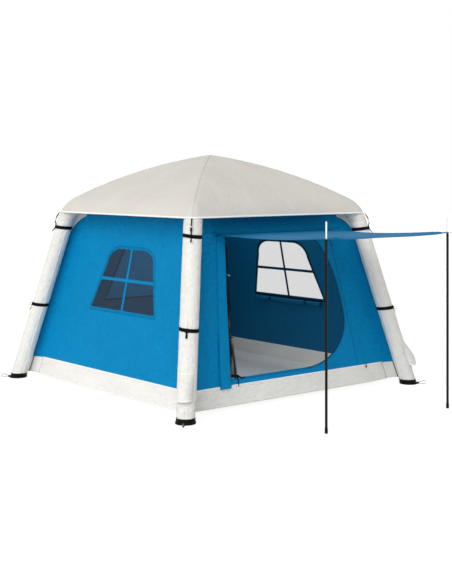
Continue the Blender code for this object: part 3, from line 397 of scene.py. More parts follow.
def powder_coat(name, colour):
    """Powder-coated steel tube: satin black with the slight orange peel of a baked coat."""
    material, tree, shader = blank(name, 0.42, 0.12)
    where = add(tree, "ShaderNodeTexCoord").outputs["Object"]
    peel = add(tree, "ShaderNodeTexNoise", {"Scale": 450.0, "Detail": 1.0}, {"Vector": where})
    scuff = add(tree, "ShaderNodeTexNoise", {"Scale": 9.0, "Detail": 5.0, "Roughness": 0.7}, {"Vector": where})
    surface(tree, shader, colour, darker(colour, 1.6), scuff.outputs["Fac"], peel.outputs["Fac"], 0.25, 0.0002)
    return material


def turned_steel(name, colour, roughness):
    """Bright zinc-plated steel with fine turning marks round its axis."""
    material, tree, shader = blank(name, roughness, metallic=1.0)
    rings = add(tree, "ShaderNodeTexWave", {"bands_direction": "Z", "Scale": band_scale(0.0015), "Distortion": 1.5},
                {"Vector": add(tree, "ShaderNodeTexCoord").outputs["Object"]}).outputs["Fac"]
    rough = add(tree, "ShaderNodeMapRange", {"To Min": roughness - 0.05, "To Max": roughness + 0.08}, {"Value": rings})
    surface(tree, shader, darker(colour, 0.9), colour, rings)
    link(tree, shader, {"Roughness": rough.outputs["Result"]})
    return material


def beam_film(name, colour):
    """Milky polyurethane film of the air bladders: satin, with a faint cloudiness."""
    material, tree, shader = blank(name, 0.3)
    haze = add(tree, "ShaderNodeTexNoise", {"Scale": 14.0, "Detail": 3.0},
               {"Vector": add(tree, "ShaderNodeTexCoord").outputs["Object"]})
    surface(tree, shader, darker(colour, 0.85), colour, haze.outputs["Fac"])
    return material


# Each finish: the real material's name, the solids' slot, its maker, its colour and the maker's settings
FINISHES = {
    "roof": ("roof_coated_polyester", "roof_cloth", coated_cloth, ("roof",), 0.72, 0.20, 0.010, 0.0030),
    "wall": ("wall_coated_polyester", "blue_cloth", coated_cloth, ("wall",), 0.66, 0.08, 0.014, 0.0170),
    "wall_back": ("wall_polyester_coated_side", "blue_cloth", coated_cloth, ("wall", 0.50), 0.60, 0.16, 0.012, 0.0100),
    # The awning is the walls' cloth; its darker share of the wall colour is painted shade
    "awning": ("awning_coated_polyester", "blue_cloth", coated_cloth, ("wall", 0.72), 0.60, 0.16, 0.030, 0.0180),
    "sleeve": ("sleeve_coated_polyester", "white_cloth", coated_cloth, ("sleeve",), 0.60, 0.20, 0.016, 0.0140),
    "sheet": ("groundsheet_woven_polyethylene", "sheet_cloth", coated_cloth, ("sheet",), 0.58, 0.20, 0.018, 0.0115),
    "binding": ("white_binding_tape", "white_cloth", stitched_tape, ("binding",), 0.004, 0.008),
    "wall_tape": ("blue_seam_tape", "blue_cloth", stitched_tape, ("wall", 0.72), 0.004, 0.008),
    "inner_tape": ("navy_seam_tape", "blue_cloth", stitched_tape, ("wall", 0.14), 0.004, 0.008),
    "roof_tape": ("roof_seam_tape", "roof_cloth", stitched_tape, ("roof", 0.97), 0.004, 0.008),
    "black_tape": ("black_zip_tape", "black_plastic", stitched_tape, ("#0C0D0F",), 0.004, 0.006),
    "mesh": ("window_insect_mesh", "dark_mesh", insect_mesh, ("mesh",), 0.0016),
    # The rolled mesh's second colour is the painted highlight on its folds
    "rolled_mesh": ("rolled_insect_mesh", "dark_mesh", bunched_mesh, ("#121214",), srgb("#6A635F")),
    "webbing": ("black_polypropylene_webbing", "black_webbing", webbing, ("#0B0B0C",), 0.002),
    "loop_webbing": ("grey_polyester_webbing", "black_webbing", webbing, ("#77777A",), 0.002),
    "plastic": ("black_moulded_nylon", "black_plastic", moulded_plastic, ("#060607",), 0.48, 0.0008),
    "blue_metal": ("blue_lacquered_zinc", "black_plastic", moulded_plastic, ("wall", 0.8), 0.45, 0.0008),
    "pole": ("powder_coated_steel", "", powder_coat, ("#110F0F",)),
    "spike": ("turned_zinc_plated_steel", "", turned_steel, ("#EDF1F3",), 0.30),
    "ring": ("zinc_plated_wire", "bright_steel", turned_steel, ("#C9CDD0",), 0.28),
    "film": ("bladder_polyurethane_film", "", beam_film, ("#C4CACC",)),
}


def finish(key):
    """A finish by its key, made on first use."""
    name, _, make, hue, *settings = FINISHES[key]
    return bpy.data.materials.get(name) or make(name, tinted(*hue), *settings)


# Building blocks

def cloth_grid(columns, rows, size, place, close_u=False):
    """A grid laid out by place(u, v), its UV map in metres. A closed one joins its last column to its first."""
    bm = bmesh.new()
    layer = bm.loops.layers.uv.new("cloth")
    bmesh.ops.create_grid(bm, x_segments=columns, y_segments=rows, size=1, calc_uvs=True)
    for vert in bm.verts:
        vert.co = place((vert.co.x + 1) / 2, (vert.co.y + 1) / 2)
    for face in bm.faces:
        for loop in face.loops:
            loop[layer].uv = (loop[layer].uv.x * size[0], loop[layer].uv.y * size[1])
    if close_u:
        bmesh.ops.remove_doubles(bm, verts=bm.verts, dist=GRID_WELD)
    return bm


def face_outwards(bm, outwards):
    """Turns the faces so that most of them look the way outwards(centre) points."""
    bmesh.ops.recalc_face_normals(bm, faces=bm.faces)
    total = sum(face.normal.dot(outwards(face.calc_center_median())) * face.calc_area() for face in bm.faces)
    if total < 0:
        bmesh.ops.reverse_faces(bm, faces=bm.faces)


def placed(name, bm):
    """An object in the scene from a bmesh."""
    mesh = bpy.data.meshes.new(name)
    bm.to_mesh(mesh)
    bm.free()
    obj = bpy.data.objects.new(name, mesh)
    bpy.context.scene.collection.objects.link(obj)
    return obj


def thicken(obj, thickness, offset):
    modifier = obj.modifiers.new("thickness", "SOLIDIFY")
    modifier.thickness = thickness
    modifier.offset = offset


def facing(*direction):
    """For turning faces: outwards is the same way everywhere."""
    return lambda spot: Vector(direction)


def away_from(centre):
    """For turning faces: outwards is away from a point."""
    return lambda spot: spot - centre


def show(name, bm, key, replaces=(), body="tent", slot=None, thickness=0.0, offset=0.0, outwards=None):
    """Turns a bmesh into a shown piece that rides on a body, or on none where no body is given."""
    if outwards:
        face_outwards(bm, outwards)
    obj = placed(name, bm)
    obj.data.shade_smooth()
    obj.data.set_sharp_from_angle(angle=SHARP_ANGLE)
    obj.data.materials.append(finish(key))
    if thickness:
        thicken(obj, thickness, offset)
    if body:
        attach(obj, body)
    slot or FINISHES[key][1]
    if replaces:
        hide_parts(*replaces)
    return obj


def girth(tree, centre, steps=48):
    """The length of a line over the middle of a CAD dome, from edge to edge, which its cloth is cut from."""
    return line_length([outer_hit(tree, centre, roof_direction(2 * step / steps - 1, 0.0))[0]
                        for step in range(steps + 1)])


def dress(node, key):
    """Gives a CAD node that stays a finish of its own."""
    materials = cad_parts[node].data.materials
    materials.clear()
    materials.append(finish(key))


def ripple(x, y, seed):
    """Smooth unevenness between about -1 and 1."""
    return noise.noise(Vector((x, y, seed)))


def ease(value):
    """Clamps to 0 to 1 and rounds both ends."""
    value = min(1.0, max(0.0, value))
    return value * value * (3 - 2 * value)


def wall_half(height):
    return WALL_REACH - LEAN * height


def up_wall(height):
    return height / cos(WALL_TILT)


def wall_frame(side):
    """A frame on a wall: X level, Y up the slope, Z outwards, origin at ground height."""
    turn = Matrix.Rotation(WALL_TURNS[side], 4, "Z")
    return Matrix.Translation(turn @ Vector((0, -WALL_REACH, 0))) @ turn @ Matrix.Rotation(pi / 2 - WALL_TILT, 4, "X")


def wall_axes(side):
    """The directions along a wall, up its slope and out of it."""
    return [wall_frame(side).col[axis].xyz for axis in range(3)]


def wall_crease(side, x, height):
    """How far a wall's cloth sags in from its plane: nothing at its seams, a few millimetres between them."""
    depth = bpy.context.scene.tent_sizes.wall_crease
    edge = ease((wall_half(height) - abs(x)) / 0.16) * ease((height - SKIRT_HEIGHT) / 0.12)
    edge *= ease((WALL_TOP - height) / 0.12)
    if side == "front":
        edge *= ease((abs(abs(x) - 0.79 + 0.1 * (height - 0.9)) - 0.02) / 0.10)
    seed = 7.3 * WALL_TURNS[side] + 1.7
    pulled = ripple(x * 2.1 + 0.5 * height, height * 1.5, seed)
    pulled += 0.45 * ripple(x * 6.0 - 2.0 * height, height * 2.6, seed + 9)
    fan = sin(14 * atan2(height - 0.1, 1.35 - abs(x))) * ease(1 - hypot(abs(x) - 1.15, height - 0.2) / 0.75)
    return -depth * edge * (0.55 + 0.55 * pulled + 0.22 * fan)


def wall_point(side, x, y, lift=0.0):
    """A point of a wall's outer face at x along it and y up its slope, creased and lifted."""
    height = y * cos(WALL_TILT)
    return wall_frame(side) @ Vector((x, y, lift + wall_crease(side, x, height)))


def corner_frame(signs):
    """A sheared frame round a leg: X outwards along the diagonal, Z up along the leaning leg."""
    shear = Matrix.Identity(4)
    shear[0][2] = -LEAN * DIAGONAL
    foot = Vector((signs[0] * LEG_REACH, signs[1] * LEG_REACH, 0))
    return Matrix.Translation(foot) @ Matrix.Rotation(atan2(signs[1], signs[0]), 4, "Z") @ shear


def from_leg(signs):
    """The direction away from a leg's axis, for turning faces outwards."""
    return lambda spot: spot - corner_frame(signs) @ Vector((0, 0, spot.z))


def diagonal(signs):
    """The level directions outwards along a corner's diagonal and square to it."""
    out = Vector((signs[0], signs[1], 0)).normalized()
    return out, Vector((-out.y, out.x, 0))


def upright_frame(signs):
    foot = Vector((signs[0] * LEG_REACH, signs[1] * LEG_REACH, 0))
    return Matrix.Translation(foot) @ Matrix.Rotation(atan2(signs[1], signs[0]), 4, "Z")


def sleeve_radius(height):
    return FOOT_RADIUS + (SLEEVE_RADIUS - FOOT_RADIUS) * min(1.0, height / TAPER_HEIGHT)


def leg_point(signs, angle, height, out=0.0):
    """A point on a leg's sleeve at an angle from its outer side."""
    radius = sleeve_radius(height) + out
    return corner_frame(signs) @ Vector((radius * cos(angle), radius * sin(angle), height))


def slant(signs, angle):
    """How much higher a strap sits than level at an angle round its leg: none was pulled quite straight."""
    turned = angle + atan2(signs[1], signs[0])
    return STRAP_SLANT * signs[0] * (cos(turned) - sin(turned)) / DIAGONAL


def line_length(spots):
    return sum((after - before).length for before, after in zip(spots, spots[1:]))


def ribbon(path, sideways, width):
    """A flat band along a path, each point with its sideways direction. UV runs along and across it in metres."""
    count = len(path) - 1

    def place(u, v):
        index = round(u * count)
        return path[index] + sideways[index] * (v - 0.5) * width

    return cloth_grid(count, 2, (line_length(path), width), place)


def wall_ribbon(side, points, width, lift, closed=False):
    """A band along a line of (x, slope) points on a wall."""
    flat = [Vector((x, y)) for x, y in points]
    if closed:
        flat.append(flat[0].copy())
    count = len(flat) - 1

    def place(u, v):
        index = round(u * count)
        before = flat[index - 1] if index else (flat[-2] if closed else flat[0])
        after = flat[index + 1] if index < count else (flat[1] if closed else flat[-1])
        heading = (after - before).normalized()
        spot = flat[index] + Vector((-heading.y, heading.x)) * (v - 0.5) * width
        return wall_point(side, spot.x, spot.y, lift)

    return cloth_grid(count, 2, (line_length(flat), width), place, close_u=closed)


def resampled(points, step):
    """A line's points with more between them, none further apart than a step."""
    result = []
    for start, end in zip(points, points[1:]):
        start, end = Vector(start), Vector(end)
        count = max(1, round((end - start).length / step))
        result += [start.lerp(end, index / count) for index in range(count)]
    result.append(Vector(points[-1]))
    return result


def rolled(name, spots, radii, right, up, key, replaces, seed, folds=0.0):
    """Cloth rolled up round a line: a spiral section swept along spots, with folds that deepen along it."""
    count = len(spots) - 1

    def place(u, v):
        index = round(v * count)
        angle = 2 * pi * ROLL_TURNS * u
        radius = radii[index] * (0.30 + 0.70 * u)
        radius *= 1 + 0.05 * ripple(angle * 0.9, v * 9.0, seed) * u + folds * u * v * sin(7 * angle + 2 * v)
        return spots[index] + right * radius * cos(angle) + up * radius * sin(angle)

    width = 2 * pi * sum(radii) / len(radii) * ROLL_TURNS * 0.65
    bm = cloth_grid(26 * ROLL_TURNS, count, (width, line_length(spots)), place)
    return show(name, bm, key, replaces, thickness=THIN_CLOTH)


def wound(name, centre, right, up, axis, radius, width, key):
    """A closed band of webbing or tape round something, standing off its axis by a radius."""
    def place(u, v):
        angle = 2 * pi * u
        return centre + right * radius * cos(angle) + up * radius * sin(angle) + axis * (v - 0.5) * width

    bm = cloth_grid(28, 3, (2 * pi * radius, width), place, close_u=True)
    return show(name, bm, key, thickness=WEBBING, offset=1.0, outwards=away_from(centre))


def toggle(name, centre, along, radius, length, key):
    """A small barrel toggle with rounded ends."""
    bm = bmesh.new()
    turn = along.to_track_quat("Z", "Y").to_matrix().to_4x4()
    bmesh.ops.create_cone(bm, segments=16, radius1=radius, radius2=radius, depth=length, cap_ends=True)
    rims = [edge for edge in bm.edges if len(edge.link_faces) == 2 and edge.calc_face_angle() > 1]
    bmesh.ops.bevel(bm, geom=rims, offset=radius * 0.45, segments=3, affect="EDGES", profile=0.5, material=-1)
    bmesh.ops.transform(bm, matrix=Matrix.Translation(centre) @ turn, verts=bm.verts)
    return show(name, bm, key, outwards=away_from(centre))


def lathe(bm, geom, steps):
    """Spins a profile a full turn round Z and closes its seam and poles."""
    bmesh.ops.spin(bm, geom=geom, cent=(0, 0, 0), axis=(0, 0, 1), dvec=(0, 0, 0), angle=2 * pi, steps=steps,
                   use_merge=True)
    bmesh.ops.remove_doubles(bm, verts=bm.verts, dist=SPIN_WELD)


def spun(profile, steps, closed=False):
    """A round piece from its profile of (radius, height) points."""
    bm = bmesh.new()
    verts = [bm.verts.new((radius, 0, height)) for radius, height in profile]
    edges = [bm.edges.new(pair) for pair in zip(verts, verts[1:] + verts[:1] if closed else verts[1:])]
    lathe(bm, verts + edges, steps)
    return bm


def wire_ring(name, centre, normal, radius, wire, key, slot=None):
    """A round ring of wire."""
    bm = bmesh.new()
    section = bmesh.ops.create_circle(bm, segments=10, radius=wire)
    bmesh.ops.rotate(bm, matrix=Matrix.Rotation(pi / 2, 3, "X"), verts=section["verts"])
    bmesh.ops.translate(bm, vec=(radius, 0, 0), verts=section["verts"])
    lathe(bm, bm.verts[:] + bm.edges[:], 28)
    turn = normal.to_track_quat("Z", "Y").to_matrix().to_4x4()
    bmesh.ops.transform(bm, matrix=Matrix.Translation(centre) @ turn, verts=bm.verts)
    bmesh.ops.recalc_face_normals(bm, faces=bm.faces)
    return show(name, bm, key, slot=slot)


# Outlines in a wall's plane, as (x, slope) points

def on_wall(points):
    return [(x, up_wall(z)) for x, z in points]


def mirrored(points):
    return [(-x, z) for x, z in reversed(points)]


def rounded(points, radius, steps=4):
    """Rounds each corner of a closed outline with an arc."""
    result = []
    count = len(points)
    for index, corner in enumerate(points):
        corner = Vector(corner)
        before = (Vector(points[index - 1]) - corner).normalized()
        after = (Vector(points[(index + 1) % count]) - corner).normalized()
        half = before.angle(after) / 2
        centre = corner + (before + after).normalized() * (radius / sin(half))
        start = corner + before * (radius / sin(half) * cos(half)) - centre
        sweep = (pi - 2 * half) * (1 if before.cross(after) < 0 else -1)
        for step in range(steps + 1):
            result.append(tuple(centre + Matrix.Rotation(sweep * step / steps, 2) @ start))
    return result


def window_half(height):
    share = (height - WINDOW_BOTTOM) / (WINDOW_BAR_HEIGHT - WINDOW_BOTTOM)
    return WINDOW_HALF_BOTTOM + (WINDOW_HALF_BAR - WINDOW_HALF_BOTTOM) * share


def arch(low, high, side, flat, steps):
    """The window's upper right side: a quarter oval from its straight side to its flat top."""
    return [(flat + (side - flat) * cos(pi / 2 * step / steps), low + (high - low) * sin(pi / 2 * step / steps))
            for step in range(steps + 1)]


def window_panes():
    half = WINDOW_BAR / 2
    low_top = WINDOW_BAR_HEIGHT - half
    high_bottom = WINDOW_BAR_HEIGHT + half
    low = rounded([(half, WINDOW_BOTTOM), (WINDOW_HALF_BOTTOM, WINDOW_BOTTOM), (window_half(low_top), low_top),
                   (half, low_top)], WINDOW_ROUND)
    curve = arch(WINDOW_SPRING, WINDOW_TOP, window_half(WINDOW_SPRING), WINDOW_HALF_TOP, steps=12)
    high = [(half, high_bottom), (window_half(high_bottom), high_bottom)] + curve + [(half, WINDOW_TOP)]
    return [on_wall(shape) for shape in (low, high, mirrored(low), mirrored(high))]


def window_border():
    """A closed line round the whole window, a margin outside it."""
    low, high, side = WINDOW_BOTTOM - BORDER_MARGIN, WINDOW_TOP + BORDER_MARGIN, window_half(WINDOW_SPRING)
    right = [(0.0, low), (WINDOW_HALF_BOTTOM + BORDER_MARGIN, low)]
    right += arch(WINDOW_SPRING, high, side + BORDER_MARGIN, WINDOW_HALF_TOP, steps=14)
    return on_wall(right + mirrored(right[1:]))


def door_left(height):
    share = (height - DOOR_SILL) / (DOOR_TOP - DOOR_SILL)
    return DOOR_LEFT_BOTTOM + (DOOR_LEFT_TOP - DOOR_LEFT_BOTTOM) * share


def doorway(margin=0.0, steps=16):
    """The doorway's edge from the sill's curve up its right side, round the header and down its left side."""
    right, top, sill = DOOR_RIGHT + margin, DOOR_TOP + margin, DOOR_SILL - margin
    lower = [(DOOR_RIGHT_SILL + (right - DOOR_RIGHT_SILL) * sin(pi / 2 * step / steps),
              DOOR_RIGHT_HEIGHT - (DOOR_RIGHT_HEIGHT - sill) * cos(pi / 2 * step / steps))
             for step in range(steps + 1)]
    upper = [(DOOR_RIGHT_TOP + (right - DOOR_RIGHT_TOP) * cos(pi / 2 * step / steps),
              DOOR_RIGHT_HEIGHT + (top - DOOR_RIGHT_HEIGHT) * sin(pi / 2 * step / steps))
             for step in range(1, steps + 1)]
    left = [(-door_left(top) - margin, top), (-door_left(sill) - margin, sill)]
    return on_wall(lower + upper + left)


def prism(points, depth=0.05):
    """A cutter: a closed outline carried through the wall."""
    bm = bmesh.new()
    face = bm.faces.new([bm.verts.new((x, y, -depth)) for x, y in points])
    raised = bmesh.ops.extrude_face_region(bm, geom=[face])["geom"]
    bmesh.ops.translate(bm, vec=(0, 0, 2 * depth), verts=[v for v in raised if isinstance(v, bmesh.types.BMVert)])
    bmesh.ops.recalc_face_normals(bm, faces=bm.faces)
    return placed("opening", bm)


def cut_cloth(side, outline_at, openings):
    """A finely divided sheet in a wall's plane with openings cut in it, creased and put in its place."""
    flat = placed("flat_sheet", cloth_grid(110, 66, (1, 1), outline_at))
    thicken(flat, CLOTH, -1.0)
    cutters = [prism(shape) for shape in openings]
    for cutter in cutters:
        modifier = flat.modifiers.new("opening", "BOOLEAN")
        modifier.object = cutter
        modifier.operation = "DIFFERENCE"
        modifier.solver = "EXACT"
    cut = bpy.data.meshes.new_from_object(flat.evaluated_get(bpy.context.evaluated_depsgraph_get()))
    for spare in [flat] + cutters:
        bpy.data.objects.remove(spare)
    bm = bmesh.new()
    bm.from_mesh(cut)
    bpy.data.meshes.remove(cut)
    bm.normal_update()
    layer = bm.loops.layers.uv.verify()
    for face in bm.faces:
        # The inner face takes the second material, the cloth's coated side
        face.material_index = int(face.normal.z < -0.5)
        for loop in face.loops:
            loop[layer].uv = loop.vert.co.xy
    for vert in bm.verts:
        vert.co = wall_point(side, *vert.co)
    return bm


# Sizes and colours that a user would change

class TentSizes(bpy.types.PropertyGroup):
    thread_spacing: bpy.props.FloatProperty(
        name="Thread spacing", description="Distance between the cloth's threads, drawn coarser than life to show",
        default=0.0012, unit="LENGTH")
    wall_crease: bpy.props.FloatProperty(
        name="Wall crease", description="How deep the walls' cloth sags between its seams", default=0.010,
        unit="LENGTH")
    skirt_crease: bpy.props.FloatProperty(
        name="Skirt crease", description="How deep the ground sheet's skirt is creased", default=0.007, unit="LENGTH")
    awning_crease: bpy.props.FloatProperty(
        name="Awning crease", description="How deep the awning is creased", default=0.010, unit="LENGTH")
    seam_width: bpy.props.FloatProperty(
        name="Seam width", description="Width of a felled seam", default=0.014, unit="LENGTH")
    mesh_cover: bpy.props.FloatProperty(
        name="Mesh cover", description="Share of the window mesh that is yarn", default=0.36, subtype="FACTOR")
    key_strength: bpy.props.FloatProperty(
        name="Key light", description="Strength of the broad soft light from the left front", default=1.98)
    roof_daylight: bpy.props.FloatProperty(
        name="Roof daylight", description="Power in watts of the soft light that comes through the roof cloth",
        default=8.6)
    room_light: bpy.props.FloatProperty(
        name="Room light", description="Strength of the even light from all round", default=0.57)


class TentColours(bpy.types.PropertyGroup):
    roof: bpy.props.FloatVectorProperty(
        name="Roof", description="Roof fly", subtype="COLOR", size=4, default=srgb("#D9D5CD"))
    wall: bpy.props.FloatVectorProperty(
        name="Walls", description="Walls, storm flap and awning", subtype="COLOR", size=4, default=srgb("#0088C1"))
    sleeve: bpy.props.FloatVectorProperty(
        name="Sleeves", description="Sleeves round the air beams", subtype="COLOR", size=4, default=srgb("#EFEDE7"))
    sheet: bpy.props.FloatVectorProperty(
        name="Ground sheet", description="Floor and skirt", subtype="COLOR", size=4, default=srgb("#F7F4EE"))
    binding: bpy.props.FloatVectorProperty(
        name="Binding", description="Tape round the hems", subtype="COLOR", size=4, default=srgb("#F7F7F5"))
    mesh: bpy.props.FloatVectorProperty(
        name="Mesh", description="Yarn of the window mesh", subtype="COLOR", size=4, default=srgb("#3E4046"))


# Pieces

class TENT_OT_walls(bpy.types.Operator):
    """Cuts the four blue walls from creased cloth, with their openings and corner seams"""
    bl_idname = "tent.walls"
    bl_label = "Walls"

    def execute(self, context):
        bottom = SKIRT_HEIGHT + 0.0015
        for side in WALL_TURNS:
            openings = [doorway()] if side == "front" else window_panes()

            def outline_at(u, v):
                height = bottom + (WALL_TOP - bottom) * v
                half = wall_half(height) - 0.0022
                rise = height - (WALL_TOP - WALL_CORNER_RADIUS)
                if rise > 0:
                    half -= WALL_CORNER_RADIUS - sqrt(max(0.0, WALL_CORNER_RADIUS ** 2 - rise ** 2))
                return Vector(((2 * u - 1) * half, up_wall(height), 0))

            bm = cut_cloth(side, outline_at, openings)
            obj = show("wall_cloth_" + side, bm, "wall", ["wall_" + side])
            obj.data.materials.append(finish("wall_back"))
            for sign in (-1, 1):
                corner_gusset(side, sign)
        return {"FINISHED"}


class TENT_OT_windows(bpy.types.Operator):
    """Makes the window meshes, their sewn borders and their blinds"""
    bl_idname = "tent.windows"
    bl_label = "Windows"

    def execute(self, context):
        for side in ("left", "right", "back"):
            self.mesh(side)
            border = resampled(window_border() + window_border()[:1], LINE_STEP)[:-1]
            for face, lift, tape in (("outer", SEAM_LIFT, "wall_tape"),
                                     ("inner", -CLOTH - 2 * SEAM_LIFT, "inner_tape")):
                bm = wall_ribbon(side, border, BORDER_WIDTH, lift, closed=True)
                show("window_border_%s_%s" % (face, side), bm, tape, thickness=TAPE)
            half = window_half(WINDOW_BAR_HEIGHT)
            for way, line in (("upright", [(0.0, up_wall(WINDOW_BOTTOM)), (0.0, up_wall(WINDOW_TOP))]),
                              ("level", [(-half, up_wall(WINDOW_BAR_HEIGHT)), (half, up_wall(WINDOW_BAR_HEIGHT))])):
                bm = wall_ribbon(side, resampled(line, LINE_STEP), BAR_TAPE_WIDTH, -CLOTH - 3 * SEAM_LIFT)
                show("window_bar_%s_%s" % (way, side), bm, "inner_tape", thickness=TAPE)
        self.closed_blind()
        for side in ("left", "right"):
            self.rolled_blind(side)
        return {"FINISHED"}

    def cover(self, u, v):
        """A point of a sheet that covers the whole window, with its rounded top."""
        height = WINDOW_BOTTOM - MESH_MARGIN + (WINDOW_TOP - WINDOW_BOTTOM + 2 * MESH_MARGIN) * v
        half = window_half(min(height, WINDOW_SPRING)) + MESH_MARGIN
        if height > WINDOW_SPRING:
            share = min(1.0, (height - WINDOW_SPRING) / (WINDOW_TOP + MESH_MARGIN - WINDOW_SPRING))
            half = WINDOW_HALF_TOP + (half - WINDOW_HALF_TOP) * sqrt(max(0.0, 1 - share * share))
        return (2 * u - 1) * half, up_wall(height)

    def mesh(self, side):
        bm = cloth_grid(40, 30, (1.1, 0.61),
                        lambda u, v: wall_point(side, *self.cover(u, v), -CLOTH - SEAM_LIFT))
        obj = show("window_mesh_cloth_" + side, bm, "mesh", ["window_mesh_" + side])

    def cut(self):
        """The rectangle that a window's mesh and blind are cut from."""
        wide, low = self.cover(1.0, 0.0)
        return 2 * wide, self.cover(1.0, 1.0)[1] - low

    def closed_blind(self):
        def place(u, v):
            x, y = self.cover(u, v)
            slack = 0.004 * (1 + ripple(x * 5, y * 3, 4.1)) * ease(v * 5) * ease((1 - v) * 5)
            return wall_point("back", x, y, -CLOTH - 0.0042 - slack)

        bm = cloth_grid(50, 36, (1.1, 0.61), place)
        obj = show("blind_closed_back", bm, "wall", ["window_blind_back"], thickness=TAPE)

    def rolled_blind(self, side):
        count = 40
        axis, up, out = wall_axes(side)
        height = WINDOW_BOTTOM - BLIND_DROP
        spots, radii = [], []
        for index in range(count + 1):
            x = BLIND_HALF_LENGTH * (2 * index / count - 1)
            tied = min(abs(abs(x) - BLIND_TIE) / 0.09, 1.0)
            radius = BLIND_RADIUS * (0.74 + 0.20 * ease(tied)) * (1 + 0.03 * ripple(x * 8, 2.0, 5.0))
            depth = -CLOTH - 0.002 - radius * 1.05
            spots.append(wall_point(side, x, up_wall(height) - 0.004 * ease(tied), depth))
            radii.append(radius)
        rolled("blind_roll_" + side, spots, radii, out, up, "wall_back", ["window_blind_" + side], 3.0)
        for number, x in enumerate((-BLIND_TIE, BLIND_TIE)):
            index = round((x / BLIND_HALF_LENGTH + 1) / 2 * count)
            wound("blind_tie_%s_%d" % (side, number), spots[index], out, up, axis, radii[index] + 0.0006, 0.012,
                  "webbing")
            toggle("blind_toggle_%s_%d" % (side, number), spots[index] - out * (radii[index] + 0.007) + up * 0.004,
                   (axis + up * 0.35).normalized(), TOGGLE_RADIUS, 0.030, "plastic")


